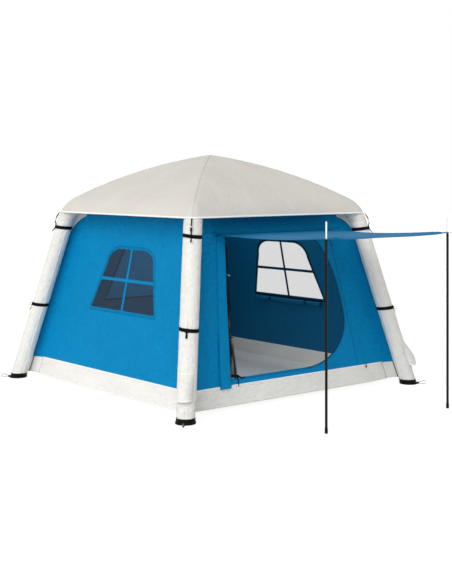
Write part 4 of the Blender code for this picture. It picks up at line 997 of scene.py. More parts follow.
class TENT_OT_door(bpy.types.Operator):
    """Makes the storm flap, the zip tapes, the rolled mesh door and the front wall's seams"""
    bl_idname = "tent.door"
    bl_label = "Door"

    def execute(self, context):
        self.flap()
        self.tapes(context)
        self.roll()
        self.skirt_toggle()
        for side in ("left", "right"):
            dress("zip_slider_" + side, "blue_metal")
            self.puller(side)
        return {"FINISHED"}

    def flap(self):
        bottom, top = SKIRT_HEIGHT - FLAP_OVERHANG, FLAP_TOP

        def place(u, v, more=0.0):
            height = bottom + (top - bottom) * v
            right = -door_left(height) + FLAP_LAP
            x = right - (FLAP_WIDTH + FLAP_FLARE * (1 - v)) * (1 - u) - 0.010 * u
            belly = 0.0020 * sin(pi * u) ** 2 + 0.0012 * (1 + ripple(u * 2, height * 7, 8.0)) * sin(pi * u)
            loose = FLAP_FOOT_RISE * (1 - u) * ease((FLAP_LOOSE_BELOW - height) / 0.20)
            return wall_point("front", x, up_wall(height), 0.0006 + belly + loose + more + FLAP_STAND_OFF * u ** 1.5
                              + 0.005 * ease(1 - (height - SKIRT_HEIGHT) / 0.05))

        bm = cloth_grid(10, 90, (FLAP_WIDTH, top - bottom), place)
        obj = show("storm_flap_cloth", bm, "wall", ["storm_flap"], thickness=0.0009, offset=1.0,
                   outwards=facing(0, -1, 0))
        bm = cloth_grid(2, 90, (0.008, top - bottom), lambda u, v: place(0.010 + 0.070 * u, v, 0.0014))
        show("storm_flap_hem", bm, "wall_tape", thickness=TAPE, offset=1.0, outwards=facing(0, -1, 0))

    def tapes(self, context):
        width = context.scene.tent_sizes.seam_width
        edge = doorway(margin=0.011)
        loop = resampled(edge + [edge[0]], LINE_STEP)[:-1]
        for face, lift in (("outer", 0.0006), ("inner", -CLOTH - 0.0006)):
            bm = wall_ribbon("front", loop, DOOR_BINDING_WIDTH, lift, closed=True)
            show("door_binding_" + face, bm, "wall_tape", thickness=TAPE)
        bm = wall_ribbon("front", resampled(doorway(margin=ZIP_MARGIN)[:-1], 0.02), ZIP_WIDTH, 0.0014)
        show("door_zip_teeth", bm, "black_tape", thickness=0.0014)
        end = wall_half(HEADER_SEAM) - 0.01
        lines = {
            "right_zip_seam": [(ZIP_RIGHT_TOP - 0.006, FLAP_TOP), (ZIP_RIGHT_BOTTOM, SKIRT_HEIGHT + 0.002)],
            "header_seam": [(-end, HEADER_SEAM), (end, HEADER_SEAM)],
        }
        for name, ends in lines.items():
            bm = wall_ribbon("front", resampled(on_wall(ends), LINE_STEP), width, 0.0003)
            show(name, bm, "wall_tape", thickness=0.0005)

    def skirt_toggle(self):
        """A cord lock on a short loop, at the skirt's top edge right of the zip."""
        right, up, out = wall_axes("front")
        spot = wall_frame("front") @ Vector((ZIP_RIGHT_BOTTOM + 0.10, up_wall(SKIRT_HEIGHT), 0.0085))
        toggle("skirt_cord_lock", spot - up * 0.016, (up + right * 0.25).normalized(), 0.0065, 0.022, "plastic")
        wire_ring("skirt_cord_loop", spot + up * 0.006, out, 0.012, 0.0016, "webbing")

    def roll(self):
        count = 64
        right, _, out = wall_axes("front")
        spots, radii = [], []
        for index in range(count + 1):
            share = index / count
            height = ROLL_TOP + (ROLL_BOTTOM - ROLL_TOP) * share
            near = min(abs(share - waist) for waist in ROLL_WAIST_SHARES)
            drawn = ease(1 - near * 12)
            foot = max(0.0, share - ROLL_WAIST_SHARES[-1]) / (1 - ROLL_WAIST_SHARES[-1])
            radius = ROLL_RADIUS + (ROLL_FOOT_RADIUS - ROLL_RADIUS) * foot + (ROLL_WAIST_RADIUS - ROLL_RADIUS) * drawn
            past_edge = radius * (ROLL_EDGE_SHARES[0] + (ROLL_EDGE_SHARES[1] - ROLL_EDGE_SHARES[0]) * share)
            depth = 0.003 + sqrt(radius ** 2 - past_edge ** 2)
            spots.append(wall_point("front", past_edge - door_left(height), up_wall(height), -depth))
            radii.append(radius * 0.95)
        rolled("door_mesh_roll", spots, radii, right, out, "rolled_mesh", ["mesh_door_roll"], 6.0, folds=0.13)
        down = (spots[-1] - spots[0]).normalized()
        for number, waist in enumerate(ROLL_WAIST_SHARES):
            index = round(waist * count)
            wound("door_tie_%d" % number, spots[index], right, out, down, radii[index] + 0.0008, 0.014,
                  ("wall_tape", "webbing")[number])
            toggle("door_toggle_%d" % number, spots[index] + right * (radii[index] + 0.006) + out * 0.006,
                   (right + down * 0.5).normalized(), TOGGLE_RADIUS, 0.034, ("ring", "plastic")[number])
        edging = [spots[i] + (right * 0.90 + out * 0.30) * radii[i] * 1.10
                  for i in range(round(ROLL_WAIST_SHARES[0] * count) + 2, count + 1)]
        bm = ribbon(edging, [(out * 0.6 - right * 0.8).normalized()] * len(edging), 0.012)
        show("door_mesh_edging", bm, "black_tape", thickness=0.0012)
        self.foot(spots[-1], right, out, down)

    def foot(self, end, right, out, down):
        """The roll's gathered lower end: a frill of mesh, a pointed corner over the sill and the zip's loose tail."""
        def frill(u, v):
            angle = 2 * pi * u
            spread = ROLL_FOOT_RADIUS * (0.55 + 0.45 * v) * (1 + 0.16 * sin(5 * angle + 1) * v)
            return end + right * spread * cos(angle) + out * (spread * sin(angle) - 0.004) + down * (0.040 * v - 0.012)

        bm = cloth_grid(48, 8, (0.2, 0.05), frill, close_u=True)
        show("door_mesh_frill", bm, "rolled_mesh", thickness=THIN_CLOTH)

        def corner(u, v):
            across = 2 * v - 1
            x = 0.05 + 0.115 * u - door_left(DOOR_SILL)
            height = DOOR_SILL + 0.012 - 0.020 * u + 0.006 * sin(7 * u) + across * (0.017 * (1 - u) + 0.003)
            return wall_point("front", x, up_wall(height), 0.006 + 0.006 * sin(4 * u) * across - 0.010 * (1 - u))

        bm = cloth_grid(16, 6, (0.12, 0.03), corner)
        show("door_mesh_corner", bm, "rolled_mesh", thickness=THIN_CLOTH)

        def tail(u, v):
            x = 0.078 + 0.004 * sin(3 * v) + (u - 0.5) * (0.012 - 0.004 * v) - door_left(DOOR_SILL)
            return wall_point("front", x, up_wall(DOOR_SILL + 0.012 - 0.088 * v), 0.0045 + 0.003 * sin(pi * v))

        bm = cloth_grid(3, 14, (0.012, 0.09), tail)
        show("door_zip_tail", bm, "black_tape", thickness=0.0012)

    def puller(self, side):
        """A zip pull: a small tab that hangs from its slider."""
        low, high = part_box("zip_slider_" + side)
        right, up, out = wall_axes("front")
        top = (low + high) / 2 + out * 0.0035 - up * 0.004

        def place(u, v):
            width = 0.0035 + 0.0015 * v
            return top + right * (2 * u - 1) * width - up * PULL_LENGTH * v + out * 0.0008 * sin(pi * v)

        bm = cloth_grid(4, 8, (0.008, PULL_LENGTH), place)
        show("zip_pull_" + side, bm, "wall_tape", body="zip_" + side, slot="black_plastic", thickness=0.0016)


class TENT_OT_ground_sheet(bpy.types.Operator):
    """Lays the bathtub ground sheet with its creased skirt and white top binding"""
    bl_idname = "tent.ground_sheet"
    bl_label = "Ground Sheet"

    def execute(self, context):
        crease = context.scene.tent_sizes.skirt_crease
        foot_share, skirt_share = 0.70, 0.80

        def place(u, v):
            a, b = 2 * u - 1, 2 * v - 1
            ring = max(abs(a), abs(b), 1e-6)
            sideways = (b if abs(a) > abs(b) else a) / ring
            if ring < foot_share:
                half, height = FLOOR_REACH * ring / foot_share, 0.0
                height += 0.0025 * (1 + ripple(a * 6, b * 6, 2.0)) * ease((foot_share - ring) * 6)
            elif ring < skirt_share:
                share = (ring - foot_share) / (skirt_share - foot_share)
                half = FLOOR_REACH + (wall_half(SKIRT_FOOT) - FLOOR_REACH) * share
                height = SKIRT_FOOT * share
            else:
                share = (ring - skirt_share) / (1 - skirt_share)
                height = SKIRT_FOOT + (SKIRT_HEIGHT - SKIRT_FOOT) * share
                half = wall_half(height)
                along = sideways * half
                seed = 3.0 if abs(a) > abs(b) else 5.0
                seed += 1.0 if (a if abs(a) > abs(b) else b) > 0 else 0.0
                wave = 0.5 + 0.5 * ripple(along * 4.5, height * 6, seed)
                wave += 0.3 * ripple(along * 13, height * 9, seed + 7)
                half -= crease * wave * sin(pi * share) ** 0.7 * ease((1 - abs(sideways)) * 9)
            return Vector((a / ring * half, b / ring * half, height))

        bm = cloth_grid(150, 150, (2.9, 2.9), place)
        obj = show("ground_sheet_cloth", bm, "sheet", ["ground_sheet"], thickness=0.0012, offset=1.0,
                   outwards=facing(0, 0, 1))

        for side in WALL_TURNS:
            def edge(u, v):
                height = SKIRT_HEIGHT - SKIRT_BINDING_WIDTH / 2 + SKIRT_BINDING_WIDTH * v
                x = (2 * min(u, 0.99999) - 1) * (wall_half(height) - 0.004)
                return wall_frame(side) @ Vector((x, up_wall(height), 0.0007))

            bm = cloth_grid(60, 2, (2.42, SKIRT_BINDING_WIDTH), edge)
            show("skirt_binding_" + side, bm, "binding", slot="sheet_cloth", thickness=0.0009)
        return {"FINISHED"}


class TENT_OT_legs(bpy.types.Operator):
    """Fills out the four leg sleeves, their webs and the seams on them"""
    bl_idname = "tent.legs"
    bl_label = "Leg Sleeves"

    def execute(self, context):
        low = CAP_SEAT + 0.002
        straps = (UPPER_STRAP_HEIGHT, LOWER_STRAP_HEIGHT)
        for name, signs in CORNERS.items():
            def swell(angle, height):
                """Puckers by the straps and where the sleeve runs into its cap."""
                pull = sum(0.0022 * ease(1 - abs(height - strap) / 0.030) for strap in straps)
                pucker = sum(ease(1 - abs(height - strap) / 0.09) for strap in straps + (CAP_HEIGHT + 0.01,))
                folds = 0.0009 * sin(11 * angle + 3 * ripple(height * 3, angle, 1.0)) * pucker
                long_wave = 0.0012 * ripple(cos(angle) * 1.5, height * 5 + signs[0] * 3 + signs[1], 2.0)
                slack = 0.0011 * ripple(cos(angle) * 3.5 + height * 6, sin(angle) * 3.5 + height * 17, 4.0 + signs[0])
                return folds + long_wave + slack - pull - 0.0006

            def place(u, v):
                angle = 2 * pi * u
                height = low + (LEG_SEAM_HEIGHT - low) * v
                return leg_point(signs, angle, height, swell(angle, height))

            bm = cloth_grid(56, 120, (2 * pi * SLEEVE_RADIUS, LEG_SEAM_HEIGHT), place, close_u=True)
            show("leg_cloth_" + name, bm, "sleeve", ["leg_sleeve_" + name], thickness=CLOTH, offset=-1.0,
                 outwards=from_leg(signs))
            self.web(name, signs)
            for number, angle in enumerate((LEG_SEAM_ANGLE, -LEG_SEAM_ANGLE)):
                def seam(u, v):
                    height = low + 0.04 + (LEG_SEAM_HEIGHT - low - 0.04) * u
                    turned = angle + (v - 0.5) * LEG_SEAM_WIDTH / SLEEVE_RADIUS
                    return leg_point(signs, turned, height, swell(turned, height) + SEAM_LIFT)

                bm = cloth_grid(110, 2, (LEG_SEAM_HEIGHT, LEG_SEAM_WIDTH), seam)
                show("leg_seam_%s_%d" % (name, number), bm, "binding", thickness=TAPE)
        return {"FINISHED"}

    def web(self, name, signs):
        """The strip that joins the walls' corner to the leg and follows it round the bend, blue between white ends."""
        route = rafter_route()[:26]
        # At two corners the cloth goes on in one wall's plane to the leg's far side; elsewhere it lies between both
        hand = {"front_right": 1, "back_left": -1}.get(name, 0)
        inside = [Vector((x, z)) - (SLEEVE_RADIUS - 0.002) * Vector((sin(slope), cos(slope))) for x, z, slope in route]
        turn = Matrix.Rotation(atan2(signs[1], signs[0]), 4, "Z")

        def sleeve_side(height):
            if height < inside[0].y:
                return (LEG_REACH - LEAN * height) * DIAGONAL - sleeve_radius(height) + 0.001
            high = next(index for index, spot in enumerate(inside) if spot.y >= height)
            low = inside[high - 1]
            return low.x + (inside[high].x - low.x) * (height - low.y) / (inside[high].y - low.y)

        def blue_top(u):
            """The blue cloth's upper edge: an arc from the sleeve, at u = 1, up and in to the walls' corner."""
            share = max(0.0, 1 - u / (0.74 if hand else 1.0))
            return WEB_ARC_FOOT + WEB_ARC_RISE * (1 - (1 - 0.9 * share) ** 2) ** 0.8

        def layer(low, high, lift):
            def place(u, v):
                height = low(u) + (high(u) - low(u)) * v
                start = wall_half(height) * DIAGONAL - (0.005 if hand else 0.012) + lift
                reach = sleeve_side(height) - start
                bow = 2 * u * (1 - u) * 0.80 * reach
                along = bow + u * u * (reach + 0.042) if hand else reach * u
                drape = 0.0022 * sin(pi * u) * ripple(height * 6, 1.0, signs[0] + 2 * signs[1])
                return turn @ Vector((start + along, hand * (bow + u * u * 0.054) + drape, height))

            return place

        parts = {
            "skirt": (lambda u: CAP_HEIGHT + 0.004, lambda u: SKIRT_HEIGHT, 0.0 if hand else 0.010, "sheet", 16),
            "blue": (lambda u: SKIRT_HEIGHT, blue_top, 0.0, "wall", 100),
            "white": (blue_top, lambda u: WALL_TOP, 0.0, "sleeve", 16),
        }
        for part, (low, high, lift, cloth, rows) in parts.items():
            bm = cloth_grid(10, rows, (0.11, high(0.5) - low(0.5)), layer(low, high, lift))
            show("leg_web_%s_%s" % (part, name), bm, cloth, thickness=0.0010)
        edge = layer(*parts["skirt"][:3])
        near = turn @ Vector((0, -0.0022 * hand, 0))
        bm = cloth_grid(2, 14, (0.004, 0.2), lambda u, v: edge((0.64 if hand else 0.90) + 0.05 * u, v) + near)
        show("leg_web_cord_" + name, bm, "black_tape", thickness=0.0016)


def corner_gusset(side, sign):
    """White cloth behind the rounded top corner of a wall."""
    def place(u, v):
        height = WALL_TOP - WALL_CORNER_RADIUS - 0.006 + (WALL_CORNER_RADIUS + 0.006) * v
        x = wall_half(height) - 0.002 - (WALL_CORNER_RADIUS + 0.006) * (1 - u)
        return wall_point(side, sign * x, up_wall(height), -CLOTH - SEAM_LIFT)

    bm = cloth_grid(8, 8, (0.066, 0.066), place)
    show("wall_gusset_%s_%s" % (side, "left" if sign < 0 else "right"), bm, "sleeve", thickness=TAPE)


def bend_arcs():
    """The centre of the bend at the eaves, the centre of the rafter's long arc and the slope where they meet."""
    start = Vector(((LEG_REACH - LEAN * EAVES_HEIGHT) * DIAGONAL, EAVES_HEIGHT))
    centre = start - BEND_RADIUS * Vector((cos(LEG_TILT), sin(LEG_TILT)))
    apex = Vector((0, APEX_HEIGHT))
    chord = centre - apex
    inner = RAFTER_RADIUS - BEND_RADIUS
    turn = acos((RAFTER_RADIUS ** 2 + chord.length_squared - inner ** 2) / (2 * RAFTER_RADIUS * chord.length))
    arc = apex + Matrix.Rotation(-turn, 2) @ (RAFTER_RADIUS * chord.normalized())
    reach = centre - arc
    return centre, arc, atan2(reach.x, reach.y)


def rafter_route(bend_steps=18, steps=30):
    """Stations of the beam above the leg's seam: distance from the middle, height and slope of its ring."""
    centre, arc, slope = bend_arcs()
    leg_slope = pi / 2 - LEG_TILT
    stations = [((LEG_REACH - LEAN * (LEG_SEAM_HEIGHT + TOUCH)) * DIAGONAL, LEG_SEAM_HEIGHT + TOUCH, pi / 2)]
    for step in range(bend_steps + 1):
        share = step / bend_steps
        angle = leg_slope + (slope - leg_slope) * share
        point = centre + BEND_RADIUS * Vector((sin(angle), cos(angle)))
        stations.append((point.x, point.y, angle + LEG_TILT * (1 - share)))
    last = asin((RAFTER_END - arc.x) / RAFTER_RADIUS)
    for step in range(1, steps + 1):
        turn = slope + (last - slope) * step / steps
        point = arc + RAFTER_RADIUS * Vector((sin(turn), cos(turn)))
        stations.append((point.x, point.y, turn))
    return stations


def ring_matrix(signs, station):
    """Where a ring of the beam lies in space, its axis along the route."""
    distance, height, slope = station
    out, side = diagonal(signs)
    axis = -out * cos(slope) + Vector((0, 0, sin(slope)))
    turn = Matrix((side, axis.cross(side), axis)).transposed().to_4x4()
    return Matrix.Translation(out * distance + Vector((0, 0, height))) @ turn


class TENT_OT_rafters(bpy.types.Operator):
    """Runs the sleeves on from the legs round the eaves and up to the peak"""
    bl_idname = "tent.rafters"
    bl_label = "Rafter Sleeves"

    def execute(self, context):
        route = rafter_route()
        count = len(route) - 1
        for name, signs in CORNERS.items():
            rings = [ring_matrix(signs, station) for station in route]

            def place(u, v):
                index = round(v * count)
                angle = 2 * pi * u
                inner_side = max(0.0, sin(angle))
                bend = ease(1 - abs(v - 0.22) / 0.2)
                radius = SLEEVE_RADIUS - 0.0006 - 0.0012 * inner_side * bend * (1 + sin(index * 2.1))
                return rings[index] @ Vector((radius * cos(angle), radius * sin(angle), 0))

            bm = cloth_grid(48, count, (2 * pi * SLEEVE_RADIUS, 1.6), place, close_u=True)
            centres = [ring.translation for ring in rings]
            show("rafter_cloth_" + name, bm, "sleeve", ["rafter_sleeve_" + name], thickness=CLOTH, offset=-1.0,
                 outwards=lambda spot: spot - min(centres, key=lambda c: (c - spot).length))
        for node in ("air_beam_a", "air_beam_b"):
            dress(node, "film")
        return {"FINISHED"}


def roof_direction(a, b):
    """From the hem's centre to a point of the roof: a and b run from -1 to 1 across it, 0 at the peak."""
    ring = max(abs(a), abs(b), 1e-6)
    rise = pi / 2 * (1 - ring) ** 1.25
    flat = Vector((a / ring, b / ring, 0)) * cos(rise)
    return (flat + Vector((0, 0, sin(rise)))).normalized()


def solid_tree(node):
    """A search tree over a CAD node's surface."""
    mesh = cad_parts[node].data
    return BVHTree.FromPolygons([vert.co for vert in mesh.vertices], [list(face.vertices) for face in mesh.polygons])


def outer_hit(tree, centre, direction, shift=Vector((0, 0, 0))):
    """Where a ray from far outside, towards the centre, first meets a surface."""
    start = centre + shift + direction * 4
    spot, normal, _, _ = tree.ray_cast(start, -direction)
    if spot is None:
        raise RuntimeError("a ray missed the roof")
    if normal.dot(direction) < 0:
        normal = -normal
    return spot, normal


class TENT_OT_roof(bpy.types.Operator):
    """Stretches the roof fly over the sleeves, with its hip seams and bound hem"""
    bl_idname = "tent.roof"
    bl_label = "Roof Fly"

    def execute(self, context):
        tree = solid_tree("roof_fly")
        centre = Vector((0, 0, HEM_HEIGHT + 0.0004))
        cells = 120

        def place(u, v):
            a, b = 2 * u - 1, 2 * v - 1
            spot, normal = outer_hit(tree, centre, roof_direction(a, b))
            ring = max(abs(a), abs(b))
            sag = 0.0030 * ripple(a * 5, b * 5, 11.0) * ease((1 - ring) * 8)
            return spot + normal * (0.0015 + sag)

        bm = cloth_grid(cells, cells, (2.9, 2.9), place)
        inside = [vert for vert in bm.verts if not vert.is_boundary]
        for _ in range(8):
            bmesh.ops.smooth_vert(bm, verts=inside, factor=0.5, use_axis_x=True, use_axis_y=True, use_axis_z=True)
        for vert in inside:
            # Smoothing draws the corners in, so they are let out again to where they clear the sleeves
            spot, normal = outer_hit(tree, centre, (vert.co - centre).normalized())
            vert.co += normal * max(0.0, -0.0006 - (vert.co - spot).dot(normal))
            ease_out = 0.0016 * ease((vert.co.z - HEM_HEIGHT) / 0.08)
            vert.co += (vert.co - ROOF_INSIDE).normalized() * ease_out
        bmesh.ops.recalc_face_normals(bm, faces=bm.faces)
        cloth = BVHTree.FromBMesh(bm)
        width = girth(tree, centre)
        obj = show("roof_fly_cloth", bm, "roof", ["roof_fly"], thickness=CLOTH, offset=-1.0,
                   outwards=away_from(ROOF_INSIDE))
        self.hips(context, cloth, centre)
        self.hem(cloth)
        return {"FINISHED"}

    def hips(self, context, cloth, centre):
        width = context.scene.tent_sizes.seam_width
        for name, signs in CORNERS.items():
            out, side = diagonal(signs)

            def place(u, v):
                rise = pi / 2 * (0.985 - 0.975 * u)
                direction = (out * cos(rise) + Vector((0, 0, sin(rise)))).normalized()
                spot, normal = outer_hit(cloth, centre, direction, side * (v - 0.5) * width)
                return spot + normal * 0.0010

            bm = cloth_grid(90, 2, (1.7, width), place)
            show("roof_hip_seam_" + name, bm, "roof_tape", thickness=0.0010)

    def hem(self, cloth):
        def place(u, v):
            quarter = min(u * 4, 3.999999)
            turn = int(quarter)
            across = sin(pi / 2 * (2 * (quarter - turn) - 1))
            corner = (Vector((across, -1, 0)), Vector((1, across, 0)), Vector((-across, 1, 0)),
                      Vector((-1, -across, 0)))[turn]
            height = HEM_HEIGHT + 0.0028 + 0.014 * v
            spot, normal = outer_hit(cloth, Vector((0, 0, height)), corner.normalized())
            return spot + normal * (0.0011 + 0.0006 * sin(pi * v))

        bm = cloth_grid(240, 3, (9.0, 0.02), place, close_u=True)
        show("roof_hem_binding", bm, "binding", slot="roof_cloth", thickness=0.0012)


class TENT_OT_ceiling(bpy.types.Operator):
    """Hangs the mesh ceiling under the rafters"""
    bl_idname = "tent.ceiling"
    bl_label = "Mesh Ceiling"

    def execute(self, context):
        tree = solid_tree("ceiling_mesh")
        centre = Vector((0, 0, WALL_TOP - 0.0095))

        def place(u, v):
            spot, normal = outer_hit(tree, centre, roof_direction(2 * u - 1, 2 * v - 1))
            return spot - normal * 0.0006

        bm = cloth_grid(60, 60, (2.1, 2.1), place)
        obj = show("ceiling_mesh_cloth", bm, "mesh", ["ceiling_mesh"])
        width = girth(tree, centre)
        return {"FINISHED"}


def awning_point(across, out):
    """A point of the awning: across runs -1 to 1 and out runs from the seam, 0, to the outer hem, 1."""
    outer = POLE_Y - AWNING_MARGIN
    half = SEAM_HALF_WIDTH + (POLE_X + AWNING_MARGIN - SEAM_HALF_WIDTH) * out
    sag = AWNING_SAG * (1 - across ** 2) * out * (HEM_SAG_SHARE + BELLY_SAG_SHARE * (1 - out))
    rise = (POLE_HEIGHT + SHOULDER_HEIGHT + TOUCH - SEAM_HEIGHT) * out
    return Vector((half * across, AWNING_INNER + (outer - AWNING_INNER) * out, SEAM_HEIGHT + rise - sag))


class TENT_OT_awning(bpy.types.Operator):
    """Stretches the door panel out on its poles, with hems, eyelets and folds that run to the poles"""
    bl_idname = "tent.awning"
    bl_label = "Awning"

    def execute(self, context):
        crease = context.scene.tent_sizes.awning_crease
        eyelets = {sign: self.eyelet(sign) for sign in (-1, 1)}

        def folds(across, out):
            spot = awning_point(across, out)
            total = 0.5 * ripple(spot.x * 2.4, spot.y * 2.0, 13.0)
            for eye in eyelets.values():
                reach = hypot(spot.x - eye.x, spot.y - eye.y)
                turn = atan2(spot.y - eye.y, spot.x - eye.x)
                total += 1.1 * sin(11 * turn) * ease(1 - reach / 1.5) * ease(reach / 0.12)
            calm = ease(out / 0.15) * ease((1 - abs(across)) * 12 + 0.25)
            near = min(hypot(spot.x - eye.x, spot.y - eye.y) for eye in eyelets.values())
            return crease * total * calm * ease((near - 0.015) / 0.05)

        def lay(across, out, lift=0.0):
            # The cloth is sewn on a little above the line it turns on, and its side hems hang slack
            rise = SEAM_RISE * (1 - out) - AWNING_SIDE_SAG * sin(pi * out) * across ** 4
            return awning_point(across, out) + Vector((0, 0, 0.0008 + rise + folds(across, out) + lift))

        bm = cloth_grid(72, 64, (1.57, 1.51), lambda u, v: lay(2 * u - 1, v))
        obj = show("awning_cloth", bm, "awning", ["awning"], body="", thickness=0.0009,
                   outwards=facing(0, 0, 1))
        self.bend(obj)
        hems = {
            "outer": lambda u, v: lay((2 * u - 1) * 0.998, 0.985 + 0.014 * v, HEM_LIFT),
            "left": lambda u, v: lay(-0.999 + 0.022 * v, 0.01 + 0.985 * u, HEM_LIFT),
            "right": lambda u, v: lay(0.999 - 0.022 * v, 0.01 + 0.985 * u, HEM_LIFT),
        }
        for name, place in hems.items():
            bm = cloth_grid(64, 2, (1.5, 0.02), place)
            body = "awning_panel" if name == "outer" else ""
            hem = show("awning_hem_" + name, bm, "wall_tape", body=body, thickness=0.0009)
            if not body:
                self.bend(hem)
        for name, sign in (("left", -1), ("right", 1)):
            self.grommet(name, eyelets[sign])
        return {"FINISHED"}

    def bend(self, obj):
        """Bakes the cloth's placement into its mesh."""
        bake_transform(obj)

    def eyelet(self, sign):
        out = (POLE_Y - AWNING_INNER) / (POLE_Y - AWNING_MARGIN - AWNING_INNER)
        half = SEAM_HALF_WIDTH + (POLE_X + AWNING_MARGIN - SEAM_HALF_WIDTH) * out
        return Vector((sign * POLE_X, POLE_Y, awning_point(POLE_X / half, out).z))

    def grommet(self, name, eye):
        """A pressed metal eyelet through the hem, with its rolled rim above and its washer below."""
        profile = [(0.0078, -0.0004), (0.0125, -0.0004), (0.0128, 0.0002), (0.0125, 0.0030), (0.0105, 0.0036),
                   (0.0085, 0.0030), (0.0078, 0.0020)]
        bm = spun(profile, 32, closed=True)
        bmesh.ops.recalc_face_normals(bm, faces=bm.faces)
        bmesh.ops.translate(bm, vec=eye, verts=bm.verts)
        show("awning_eyelet_" + name, bm, "ring", body="awning_panel")


class TENT_OT_poles(bpy.types.Operator):
    """Finishes the poles and puts ferrules on their feet"""
    bl_idname = "tent.poles"
    bl_label = "Poles"

    def execute(self, context):
        for name, sign in (("left", -1), ("right", 1)):
            dress("pole_tube_" + name, "pole")
            dress("pole_spike_" + name, "spike")
            base = Vector((sign * POLE_X, POLE_Y, 0))
            profile = [(0.0, 0.0008), (0.010, 0.0008), (0.0128, 0.0025), (0.0133, 0.006), (0.0128, 0.042),
                       (0.0122, 0.045), (POLE_RADIUS + 0.0002, 0.045)]
            bm = spun(profile, 28)
            bmesh.ops.translate(bm, vec=base, verts=bm.verts)
            show("pole_ferrule_" + name, bm, "plastic", body="pole_" + name,
                 outwards=away_from(base + Vector((0, 0, 0.02))))
        return {"FINISHED"}


class TENT_OT_straps(bpy.types.Operator):
    """Winds the webbing straps round the legs and hangs their tails"""
    bl_idname = "tent.straps"
    bl_label = "Straps"

    def execute(self, context):
        start, sweep = 0.02 - pi, 2 * (pi - 0.02)
        for name, signs in CORNERS.items():
            for level, height in (("upper", UPPER_STRAP_HEIGHT), ("lower", LOWER_STRAP_HEIGHT)):
                def place(u, v):
                    angle = start + sweep * u
                    return leg_point(signs, angle, height + slant(signs, angle) + STRAP_WIDTH * (v - 0.5), 0.0003)

                bm = cloth_grid(56, 3, (2 * pi * SLEEVE_RADIUS, STRAP_WIDTH), place)
                show("strap_%s_cloth_%s" % (level, name), bm, "webbing", ["strap_%s_%s" % (level, name)],
                     thickness=WEBBING, offset=1.0, outwards=from_leg(signs))
            self.tail(name, signs)
            self.cord_loop(name, signs)
        return {"FINISHED"}

    def cord_loop(self, name, signs):
        """A thin loop of cord on the lower strap, on the leg's outer side."""
        angle = radians(4) * signs[0]
        spot = leg_point(signs, angle, LOWER_STRAP_HEIGHT + slant(signs, angle) - 0.010, 0.016)
        normal = corner_frame(signs).to_3x3() @ Vector((-sin(angle), cos(angle), 0))
        wire_ring("strap_loop_" + name, spot, normal, 0.0140, 0.0017, "webbing")

    def tail(self, name, signs):
        """The lower strap's loose end, which hangs below its ladder lock."""
        angle = 0.10 * signs[0]

        def place(u, v):
            height = LOWER_STRAP_HEIGHT - 0.006 - TAIL_LENGTH * v
            turned = angle + (u - 0.5) * TAIL_WIDTH / SLEEVE_RADIUS
            return leg_point(signs, turned, height, 0.0032 + 0.010 * v * v)

        bm = cloth_grid(4, 12, (TAIL_WIDTH, TAIL_LENGTH), place)
        show("strap_tail_" + name, bm, "webbing", thickness=WEBBING)

        def lock(u, v):
            height = LOWER_STRAP_HEIGHT + 0.017 * (1 - 2 * v)
            turned = angle + (u - 0.5) * LOCK_WIDTH / SLEEVE_RADIUS
            rib = 0.0012 * abs(sin(3 * pi * v))
            return leg_point(signs, turned, height, 0.0026 + rib)

        bm = cloth_grid(6, 12, (LOCK_WIDTH, 0.034), lock)
        show("strap_lock_" + name, bm, "plastic", slot="black_webbing", thickness=0.0022, offset=1.0,
             outwards=from_leg(signs))


class TENT_OT_ties(bpy.types.Operator):
    """Ties the roof's corners down to the straps with webbing, a wire hook and a buckle"""
    bl_idname = "tent.ties"
    bl_label = "Roof Ties"

    def execute(self, context):
        for name, signs in CORNERS.items():
            out, side = diagonal(signs)
            lean = (out * -sin(LEG_TILT) + Vector((0, 0, cos(LEG_TILT)))).normalized()
            face = lean.cross(side) * -1
            if face.dot(out) < 0:
                face = -face

            def seat(height, lift):
                return leg_point(signs, 0.0, height, 0.0) + face * lift

            top, hook = HEM_HEIGHT + 0.002, HEM_HEIGHT - HOOK_DROP
            strap = UPPER_STRAP_HEIGHT + slant(signs, 0) + STRAP_WIDTH / 2
            steps = [t / 10 for t in range(11)]
            upper = [seat(top + (hook + 0.010 - top) * t, 0.0055 + 0.0175 * sin(pi / 2 * t)) for t in steps]
            self.strip(name, "upper", side, face, upper)
            lower = [seat(hook - 0.010 + (strap - hook + 0.010) * t, 0.0210 - 0.0150 * ease(t)) for t in steps]
            lower += [seat(strap - STRAP_WIDTH * t, 0.0056) for t in (0.4, 0.8, 1.0)]
            lower += [seat(strap - STRAP_WIDTH - TIE_TAIL * t, 0.0056 + 0.0200 * t ** 1.6) for t in steps[1:]]
            self.strip(name, "lower", side, face, lower)
            wire_ring("tie_hook_" + name, seat(hook + 0.004, 0.0232), face, 0.0085, 0.0015, "ring",
                      slot="black_webbing")
            self.buckle(name, seat(hook - 0.016, 0.0212), side, lean, face)
        return {"FINISHED"}

    def strip(self, name, part, side, face, path):
        twist = [0.75 * sin(3.0 * index / len(path)) for index in range(len(path))]
        bm = ribbon(path, [side * cos(turn) + face * sin(turn) for turn in twist], TIE_WIDTH)
        replaced = ["roof_tie_" + name] if part == "lower" else []
        show("tie_%s_%s" % (part, name), bm, "webbing", replaced, thickness=0.0024)

    def buckle(self, name, centre, side, lean, face):
        """A moulded hourglass buckle: broad at both ends and waisted between them."""
        def place(u, v):
            along = 2 * v - 1
            half = 0.0085 + 0.0050 * along * along
            crown = 0.0012 * (1 - (2 * u - 1) ** 2)
            return centre + side * (2 * u - 1) * half + lean * along * 0.016 + face * crown

        bm = cloth_grid(8, 12, (0.026, 0.032), place)
        show("tie_buckle_" + name, bm, "plastic", slot="black_webbing", thickness=0.0034)


